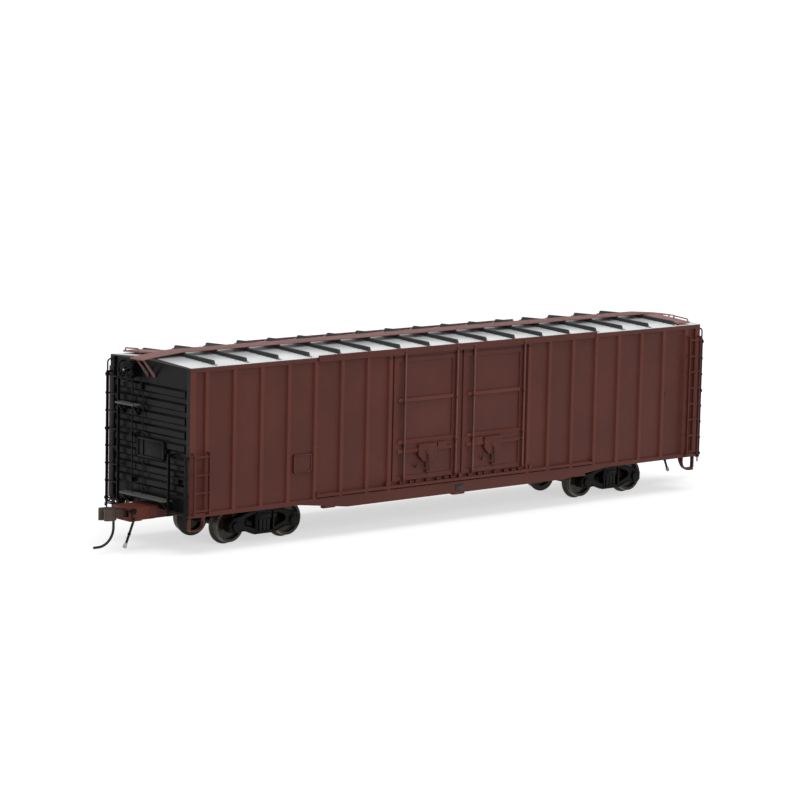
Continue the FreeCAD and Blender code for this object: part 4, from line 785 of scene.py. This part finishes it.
for z in (15.9, 23.3, 30.7, 38.1):
    pipe.block((-98.4, 1.95, z), (-97.7, 2.65, z + 0.35), 0.05)
pipe.done("release_valve", "end_black")
rows = [(-HALF_LENGTH, side * 16.15, 13.0 + 1.55 * step) for side in (-1, 1) for step in range(24)]
studs.run("end_rivets", spots(rows, (-1, 0, 0), True), "end_black", Radius=0.13, Height=0.08)

# %% [markdown]
# A plug door hangs on two rods. A gearbox under a cover turns them with a lever, cranks
# press the door into its opening, and it then rolls on a track. The keepers, the cranks,
# the rollers and a blank plate are alike on all four doors, so a loop builds the two of
# the near side and a half turn copies them to the far side.

# %% Door gear
doors = Shape()
rods = Shape()
# Levers, cranks and track rollers, in a darker brown that is painted shade.
dark = Shape()
DOOR_X, COVER_X, ROD_X, ROD_SPACING = 13.15, 12.7, 11.3, 19.7
PANEL_Y, BAR_Y, ROD_Y, ROLLER_Y = -17.85, -18.3, -18.54, -18.0
for way in (-1, 1):
    middle, cover = way * DOOR_X, way * COVER_X
    right_rod = middle + ROD_X
    left_rod = right_rod - ROD_SPACING
    for rod in (left_rod, right_rod):
        rods.rod([(rod, ROD_Y, 14.1), (rod, ROD_Y, 51.4)], 0.27, sides=12)
        for z in (14.3, 24.0, 36.3):
            doors.block((rod - 0.5, -18.9, z), (rod + 0.5, PANEL_Y, z + 0.5), 0.1)
        doors.block((rod - 0.55, -18.95, 50.35), (rod + 0.55, -18.4, 51.0), 0.1)
        doors.lathe([(-0.3, 0.0), (-0.3, 0.25), (0.2, 0.25)], (rod, -18.72, 36.55), "y", 10)
    for z in (22.55, 24.95):
        doors.rod([(left_rod, BAR_Y, z), (right_rod, BAR_Y, z)], 0.14)
    doors.block((cover - 3.1, -18.75, 23.2), (cover + 3.1, -18.5, 23.8), 0.1)
    doors.lathe([(-0.35, 0.0), (-0.3, 0.5), (-0.05, 0.75), (0.3, 0.75)], (cover, -18.75, 21.4), "y", 18)
    plate = cover - way * 5.7
    doors.block((plate - 1.6, BAR_Y, 22.2), (plate + 1.6, -18.0, 24.1), 0.06)
    for x, z in ((-2.8, 21.3), (2.8, 21.3), (-1.2, 19.4), (1.2, 19.4), (0, 22.9)):
        doors.lathe([(-0.12, 0.0), (-0.1, 0.2), (0.05, 0.22)], (cover + x, -18.62, z), "y", 8)
    dark.rod([(cover, -18.95, 21.2), (cover, -19.05, 19.2), (cover + 0.3, -18.95, 16.4)], 0.24, 0.5)
    dark.block((cover - 0.5, -18.6, 15.6), (cover + 1.1, PANEL_Y, 16.2), 0.12)
    dark.block((cover - 0.6, -18.6, 17.0), (cover - 0.25, PANEL_Y, 18.6), 0.08)
    dark.lathe([(-0.5, 0.0), (-0.45, 0.42), (0.1, 0.42)], (cover - 4.0, -18.2, 17.6), "y", 14)
    dark.rod([(cover - 4.0, -18.5, 17.6), (cover - 3.2, -18.5, 19.5)], 0.15)
    roller = [(-0.5, 0.0), (-0.45, 0.42), (0.3, 0.42), (0.4, 0.0)]
    for x in (-9.4, -5.6, -3.4, 0.6, 4.6, 7.6, 10.2):
        dark.lathe(roller, (middle + x, ROLLER_Y, 13.35), "y", 14)
        doors.block((middle + x + 0.7, -18.4, 12.9), (middle + x + 1.2, -17.6, 13.6), 0.1)
for x in (-27.6, 0.0, 27.6):
    doors.block((x - 0.5, -18.75, 12.9), (x + 0.5, -17.9, 14.2), 0.12)
for x in (-53.2, 53.2):
    doors.block((x - 0.35, -18.85, 12.6), (x + 0.35, -18.0, 13.6), 0.1)
    doors.block((x - 0.35, -18.85, 50.3), (x + 0.35, -18.4, 51.5), 0.1)
doors.turned().done("door_fittings", "body_brown")
# The lock rods carry a painted highlight in their lighter brown.
rods.turned().done("door_lock_rods", "rod_brown", "body_brown")
dark.turned().done("door_levers", "lever_brown", "body_brown")
rows = [(-51.5 + 2.15 * step, -18.59, z) for step in range(49) for z in (12.5, 51.6)]
studs.run("track_bolts", spots(rows, (0, -1, 0), True), "body_brown", Radius=0.12, Height=0.08)

# %% [markdown]
# The sides also carry a route card board with its rim, a blank dark plate on the sill,
# and jacking pads under the belly. Ladders are held by a bolt at every rung.

# %% Side plates and ladder bolts
plates = Shape()
plates.rim((-61.5, -18.1, 19.6), (-55.0, -17.75, 24.7), 1, 0.4, 0.07)
plates.block((-2.2, -18.24, 7.95), (2.2, -16.7, 8.55), 0.12)
for x in (-48.5, 48.5):
    plates.block((x - 2.2, -18.2, 8.7), (x + 2.2, -16.8, 9.35), 0.12)
plates.block((83.6, -17.9, 30.0), (84.6, -17.45, 31.2), 0.1)
plates.turned().done("side_plates", "body_brown")
labels = Shape()
labels.block((-1.4, -18.42, 9.2), (1.4, -18.2, 10.9), 0.06)
labels.turned().done("blank_label", "label_black", "body_brown")
stiles = ((92.375, 8), (96.925, 8), (-96.925, 4), (-91.875, 4))
bolts = [(x, -19.74, SIDE_RUNG + RUNG_PITCH * rung) for x, rungs in stiles for rung in range(rungs)]
studs.run("ladder_bolts", spots(bolts, (0, -1, 0), True), "body_brown", Radius=0.2, Height=0.1)

# %% [markdown]
# The roof sheet carries seventeen slim cross ribs that fall towards the eaves with it. The
# walk above stands on saddles. The grating tree lays a raised tread on its flat run and
# on the two runs that bend down at each end. A side walk leads from each end of it to the
# corner ladder and carries a bent grab iron.

# %% Roof with its ribs
FOOT, SHOULDER, HALF_RIB, RIB_SHOULDER_Z, RIB_CREST_Z = 16.44, 15.74, 0.42, 52.75, 53.3
rib_places = [-88.32 + 11.04 * rib for rib in range(17)]
gable = [(-HALF_WIDTH, 51.14), (-16.59, 51.14), (0, 51.64), (16.59, 51.14), (HALF_WIDTH, 51.14)]
gable += [(HALF_WIDTH, EAVE), (0, CROWN), (-HALF_WIDTH, EAVE)]
rib_line = [(-FOOT, EAVE), (0, CROWN - 0.2), (FOOT, EAVE)]
rib_line += [(SHOULDER, RIB_SHOULDER_Z), (0, RIB_CREST_Z), (-SHOULDER, RIB_SHOULDER_Z)]
ribbed = Shape()
ribbed.plate(gable, "x", -HALF_LENGTH, HALF_LENGTH)
for x in rib_places:
    ribbed.plate(rib_line, "x", x - HALF_RIB, x + HALF_RIB, 0.06)
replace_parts(ribbed.done("ribbed_roof", "roof_silver"), "roof")
tips = Shape()
heads = []
for x in rib_places:
    for side in (-1, 1):
        tips.block((x - 0.35, side * 16.3, 51.35), (x + 0.35, side * 17.2, 51.8), 0.1)
    for y in (-16.9, -12.5, -8.6, -5.2, 5.2, 8.6, 12.5, 16.9):
        for dx in (-0.95, 0.95):
            heads.append((x + dx, y, CROWN - abs(y) * (CROWN - EAVE) / HALF_WIDTH))
tips.done("rib_tips", "rib_tip", "roof_silver")
studs.run("roof_bolts", spots(heads), "frame_black", "roof_silver", Radius=0.14, Height=0.09, Sides=6)

# %% Roof walk
HALF_BOARD, BOARD_TOP, BOARD_DEEP = 2.9, 53.75, 0.3
bends = [(102.5, 52.4), (97.9, 53.0), (88.9, BOARD_TOP)]
deck = bends + [(-x, z) for x, z in reversed(bends)]
# The walk and its grab irons take the lighter walkway brown, which is painted light.
walk = Shape()
walk.plate(deck + [(x, z - BOARD_DEEP) for x, z in reversed(deck)], "y", -HALF_BOARD, HALF_BOARD, 0.05)
for x in rib_places:
    low = (x - HALF_RIB, 0.6 - HALF_BOARD, RIB_CREST_Z - 0.15)
    walk.block(low, (x + HALF_RIB, HALF_BOARD - 0.6, BOARD_TOP - 0.2))
side_walk = [(-17.24, 52.3), (-17.24, 51.9), (-2.6, 52.95), (-2.6, 53.35)]
for way in (-1, 1):
    walk.plate([(y * way, z) for y, z in side_walk], "x", way * 88.9, way * 94.4, 0.06)
    walk.block((way * 89.7, -way * 17.24, EAVE), (way * 90.5, -way * 16.44, 52.1))
    for y in (-1.5, 1.5):
        strut = [(97.2, 47.0), (97.55, 47.0), (101.55, 52.3), (101.2, 52.3), (97.2, 47.7)]
        walk.plate([(way * x, z) for x, z in strut], "y", y - 0.15, y + 0.15)
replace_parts(walk.done("roof_walk", "walkway_brown"), "running_board")
irons = Shape()
HOLD_X, HOLD_OUTER, HOLD_INNER = 94.1, -16.44, -10.44
bow = ((HOLD_OUTER, 52.1), (HOLD_OUTER, 53.05), (HOLD_INNER, 53.45), (HOLD_INNER, 52.6))
irons.rod([(HOLD_X, y, z) for y, z in bow], 0.2, 0.4)
for y, z in ((HOLD_OUTER, 52.36), (HOLD_INNER, 52.79)):
    irons.lathe([(-0.15, 0.42), (0.1, 0.38), (0.1, 0.0)], (HOLD_X, y, z), "z", 12)
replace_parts(irons.turned().done("roof_hand_holds", "walkway_brown"), "roof_grab_irons")
treads = [(0.0, BOARD_TOP, 177.6, 0.0)]
for (x1, z1), (x0, z0) in zip(bends, bends[1:]):
    tilt = atan2(z0 - z1, x1 - x0)
    for side in (-1, 1):
        treads.append((side * (x0 + x1) / 2, (z0 + z1) / 2, hypot(x1 - x0, z0 - z1), side * tilt))
for index, (x, z, length, tilt) in enumerate(treads):
    place = leaning(Vector((x, 0, z - 0.03)) * MM, tilt)
    grating.run(
        f"walk_tread_{index}", spots([(0, 0, 0)]), "walkway_brown", place=place,
        Length=length, Width=2 * HALF_BOARD, Pitch=0.9, Bar=0.22, Height=0.12,
    )
clips = Shape()
low, high = RIB_CREST_Z - 0.2, RIB_CREST_Z + 0.2
for x in rib_places:
    for side in (-1, 1):
        clips.block((x - 0.55, side * 2.35, low), (x + 0.55, side * 2.7, high), 0.08)
clips.done("board_clips", "frame_black", "roof_silver")

# %% [markdown]
# Trucks are castings with coil springs between the side frames and the bolster. Each
# spring is a real helix over the plain core of the CAD model. Roller bearing caps have
# three screws, a plank ties the side frames below, and brake beams with shoes hang
# between the wheels.

# %% Trucks
FRAME_Y, BEAM_X, BEAM_Z, TREAD, SHOE_BACK = 12.6, 4.0, 4.2, 5.15, 5.75


def truck(name, centre):
    """One truck's springs, bolts and brake gear, built round x = 0 and then moved."""
    body = "truck_" + name
    move = Vector((centre, 0, 0))
    nests = [move + Vector((x, y, 3.5)) for y in (-12.08, 12.08) for x in (-1.35, 0, 1.35)]
    coils.run(
        "springs_" + name, spots(nests), "spring_steel", "frame_black", body,
        Radius=0.6, Wire=0.12, Height=3.2, Turns=6,
    )
    screws, ways = [], []
    for side in (-1, 1):
        for axle in (-AXLE_X, AXLE_X):
            for step in range(3):
                angle = tau * (step + 0.25) / 3
                x, z = axle + 0.75 * cos(angle), WHEEL_Z + 0.75 * sin(angle)
                screws.append(move + Vector((x, side * 13.05, z)))
        for x, z in ((4.1, 9.1), (3.2, 3.0), (8.6, 8.0)):
            screws += [move + Vector((way * x, side * FRAME_Y, z)) for way in (-1, 1)]
        screws.append(move + Vector((0, side * FRAME_Y, 9.25)))
        ways += [(0, side, 0)] * (len(screws) - len(ways))
    studs.run(
        "truck_bolts_" + name, spots(screws, ways), "frame_black", body=body,
        Radius=0.22, Height=0.13, Sides=6,
    )
    cast = Shape()
    for side in (-1, 1):
        face = side * FRAME_Y
        near, far = face - side * 0.3, face + side * 0.22
        for way in (-1, 1):
            arch = ((0.6, 9.25), (4.6, 9.25), (8.7, 7.95), (11.2, 7.4), (11.9, 6.4))
            cast.rod([(way * x, face, z) for x, z in arch], 0.26, 0.8, 6)
            foot = ((0.6, 2.95), (3.7, 2.95), (7.2, 4.1), (8.6, 3.95), (11.6, 3.95))
            cast.rod([(way * x, face, z) for x, z in foot], 0.24, 0.8, 6)
            cast.block((way * 2.7, near, 3.4), (way * 3.15, far, 8.8), 0.08)
            cast.block((way * 9.0, near, 6.9), (way * 11.2, far, 7.35), 0.1)
            cap = [(0, 1.35), (side * 0.25, 1.3), (side * 0.3, 0.95), (side * 0.3, 0.0)]
            cast.lathe(cap, (way * AXLE_X, side * 12.95, WHEEL_Z), "y", 24)
        cast.block((-2.7, near, 3.15), (2.7, far, 3.5), 0.08)
        cast.block((-1.6, near, 7.1), (1.6, far, 8.3), 0.12)
    for way in (-1, 1):
        beam = way * BEAM_X
        cast.rod([(beam, -9.0, BEAM_Z), (beam - way * 0.9, 0, BEAM_Z), (beam, 9.0, BEAM_Z)], 0.32, 0.5)
        cast.rod([(beam, -9.0, BEAM_Z), (beam, 9.0, BEAM_Z)], 0.28)
        cast.block((beam - 0.25, -7.0, 2.6), (beam + 0.25, 7.0, 6.3), 0.1)
        angles = (-0.42, -0.21, 0.0, 0.21)
        shoe = []
        for reach, turns in ((TREAD, angles), (SHOE_BACK, angles[::-1])):
            shoe += [(way * (AXLE_X - reach * cos(a)), WHEEL_Z + reach * sin(a)) for a in turns]
        for side in (-1, 1):
            cast.plate(shoe, "y", side * 7.4, side * 9.4, 0.08)
            cast.rod([(beam + way * 0.2, side * 8.6, BEAM_Z), (beam - way * 0.6, side * 9.6, 8.2)], 0.2)
        cast.rod([(beam, 0, BEAM_Z), (beam - way * 0.6, 0.3, 7.2)], 0.22)
    cast.block((-2.3, -11.6, 2.75), (2.3, 11.6, 3.15), 0.1)
    cast.block((-4.6, 1.6, 4.35), (4.6, 2.0, 4.85), 0.08)
    cast.corners = [move + corner for corner in cast.corners]
    cast.done("truck_castings_" + name, "frame_black", body=body)


truck("b", -TRUCK_X)
truck("a", TRUCK_X)

# %% [markdown]
# A moulded coupler has a fine spring beside its knuckle. The draft gear box is closed by a
# lid with two screws. The brake hose here is a short stiff moulding, a few millimetres
# long, so it stays a solid and gets a clamp, a joint and a metal coupling head.

# %% Couplers and hoses
SPRING_AT = (112.05, -0.75, 11.2)
for name, spring_at, way in (("b", half_turn(SPRING_AT), -1), ("a", SPRING_AT, 1)):
    coils.run(
        "knuckle_spring_" + name, spots([spring_at], (0, way, 0)), "bright_metal", "coupler_dark",
        "coupler_" + name, Radius=0.22, Wire=0.06, Height=1.2, Turns=5,
    )
box_trim = Shape()
for x in (-104.9, -86.5):
    box_trim.lathe([(-0.35, 0.0), (-0.3, 0.75), (0.1, 0.85)], (x, 0, 8.4), "z", 18)
box_trim.block((-106.95, -4.05, 8.6), (-106.5, 4.05, 9.0), 0.08)
box_trim.block((-106.95, -4.05, 11.75), (-106.5, 4.05, 12.3), 0.1)
for y in (-4.1, 3.7):
    box_trim.block((-104.5, y, 8.7), (-98.5, y + 0.4, 9.3), 0.08)
    box_trim.block((-100.4, y, 8.7), (-99.9, y + 0.4, 12.2), 0.08)
box_trim.turned().done("draft_box_trim", "body_brown")
HOSE_Y = -4.7
hoses = Shape()
hoses.lathe([(-0.5, 0.5), (0.5, 0.5)], (-106.2, HOSE_Y, 11.1), "y", 12)
hoses.lathe([(-0.35, 0.44), (0.35, 0.44)], (-106.25, HOSE_Y, 9.4), "z", 12)
slope = leaning((-107.7, HOSE_Y, 5.4), radians(22))
hoses.lathe([(-0.3, 0.46), (0.3, 0.46)], (0, 0, 0), "z", 12, slope)
hoses.block((-107.1, -5.0, 11.0), (-105.4, -3.85, 12.0), 0.15)
hoses.turned().done("hose_clamps", "frame_black", "hose_black")
heads = Shape()
slope = leaning((-109.0, HOSE_Y, 2.5), radians(30))
head = [(-0.9, 0.0), (-0.85, 0.42), (-0.3, 0.55), (0.25, 0.5), (0.5, 0.42), (0.5, 0.0)]
heads.lathe(head, (0, 0, 0), "z", 14, slope)
heads.block((-0.25, -0.75, -0.85), (0.25, 0.1, -0.1), 0.1, slope)
heads.turned().done("hose_heads", "bright_metal", "hose_black")

# %% [markdown]
# Little of the underside shows in a shelf model, yet it is looked at when the car lies in
# the hand. The train pipe runs from end to end, the cylinder drives levers and rods, and
# stringers stiffen the floor between the cross bearers.

# %% Underside
PIPE_Z, LEVER_Z, TANK_Y, TANK_Z = 11.6, 9.55, 9.0, 9.6
under = Shape()
train_pipe = ((-96.0, -4.9), (-52.0, -4.9), (-46.0, -6.4), (46.0, -6.4), (52.0, -4.9), (96.0, -4.9))
under.rod([(x, y, PIPE_Z) for x, y in train_pipe], 0.28, 2.0)
under.rod([(-10.2, -7.6, 11.4), (-10.2, -6.4, PIPE_Z)], 0.22)
under.rod([(-8.2, -8.4, 10.6), (-2.0, -6.0, 10.6), (-2.0, 4.0, 10.6), (4.4, 9.0, 10.6)], 0.18, 1.2)
under.rod([(-8.2, -9.6, 11.2), (20.0, -10.0, 11.2), (24.0, 4.0, 11.2), (25.4, 9.0, 10.4)], 0.18, 1.2)
under.rod([(31.8, TANK_Y, TANK_Z), (36.5, TANK_Y, TANK_Z)], 0.3)
for lever in (
    [(36.0, 2.8), (36.8, 2.8), (37.4, 9.4), (36.2, 9.4)],
    [(-6.4, 3.4), (-5.6, 3.4), (-5.8, 9.8), (-6.8, 9.8)],
):
    under.plate(lever, "z", LEVER_Z - 0.2, LEVER_Z + 0.2, 0.06)
under.rod([(36.6, 6.0, LEVER_Z), (-6.0, 7.6, LEVER_Z)], 0.18)
under.rod([(36.4, 3.2, LEVER_Z), (62.0, 2.6, 7.9)], 0.18)
under.rod([(-6.0, 3.8, LEVER_Z), (-62.0, 2.6, 7.9)], 0.18)
under.rod([(-6.6, 9.5, LEVER_Z), (-40.0, 10.4, 10.6), (-96.4, 6.2, 12.2)], 0.18, 1.0)
for x in (-44.0, -24.0, 14.0, 44.0):
    under.block((x - 0.3, -6.9, 11.1), (x + 0.3, -5.9, 13.1), 0.08)
under.done("brake_rigging", "frame_black")
floor_ribs = Shape()
BAYS = ((-58.6, -38.8), (-37.2, -19.8), (-18.2, -0.8), (0.8, 18.2), (19.8, 37.2), (38.8, 58.6))
for y in (-13.2, -9.4, 5.6, 13.2):
    for x0, x1 in BAYS:
        floor_ribs.block((x0, y - 0.3, 12.3), (x1, y + 0.3, 13.15), 0.06)
floor_ribs.done("floor_stringers", "body_brown")
tank = Shape()
for x, half, radius in ((5.2, 0.3, 2.32), (13.8, 0.3, 2.32), (27.0, 0.25, 1.82), (30.0, 0.25, 1.82)):
    tank.lathe([(-half, radius), (half, radius)], (x, TANK_Y, TANK_Z), "x", 28)
for x, way in ((3.3, 1), (15.7, -1)):
    cap = [(-0.3, 1.0), (0, 1.9), (0.3, 1.9), (0.3, 0.0)]
    tank.lathe([(way * along, radius) for along, radius in cap], (x, TANK_Y, TANK_Z), "x", 28)
tank.block((-10.6, -10.2, 9.5), (-8.4, -7.8, 10.1), 0.15)
tank.block((-11.3, -9.8, 10.6), (-10.8, -8.2, 12.4), 0.15)
tank.done("brake_tanks", "frame_black")
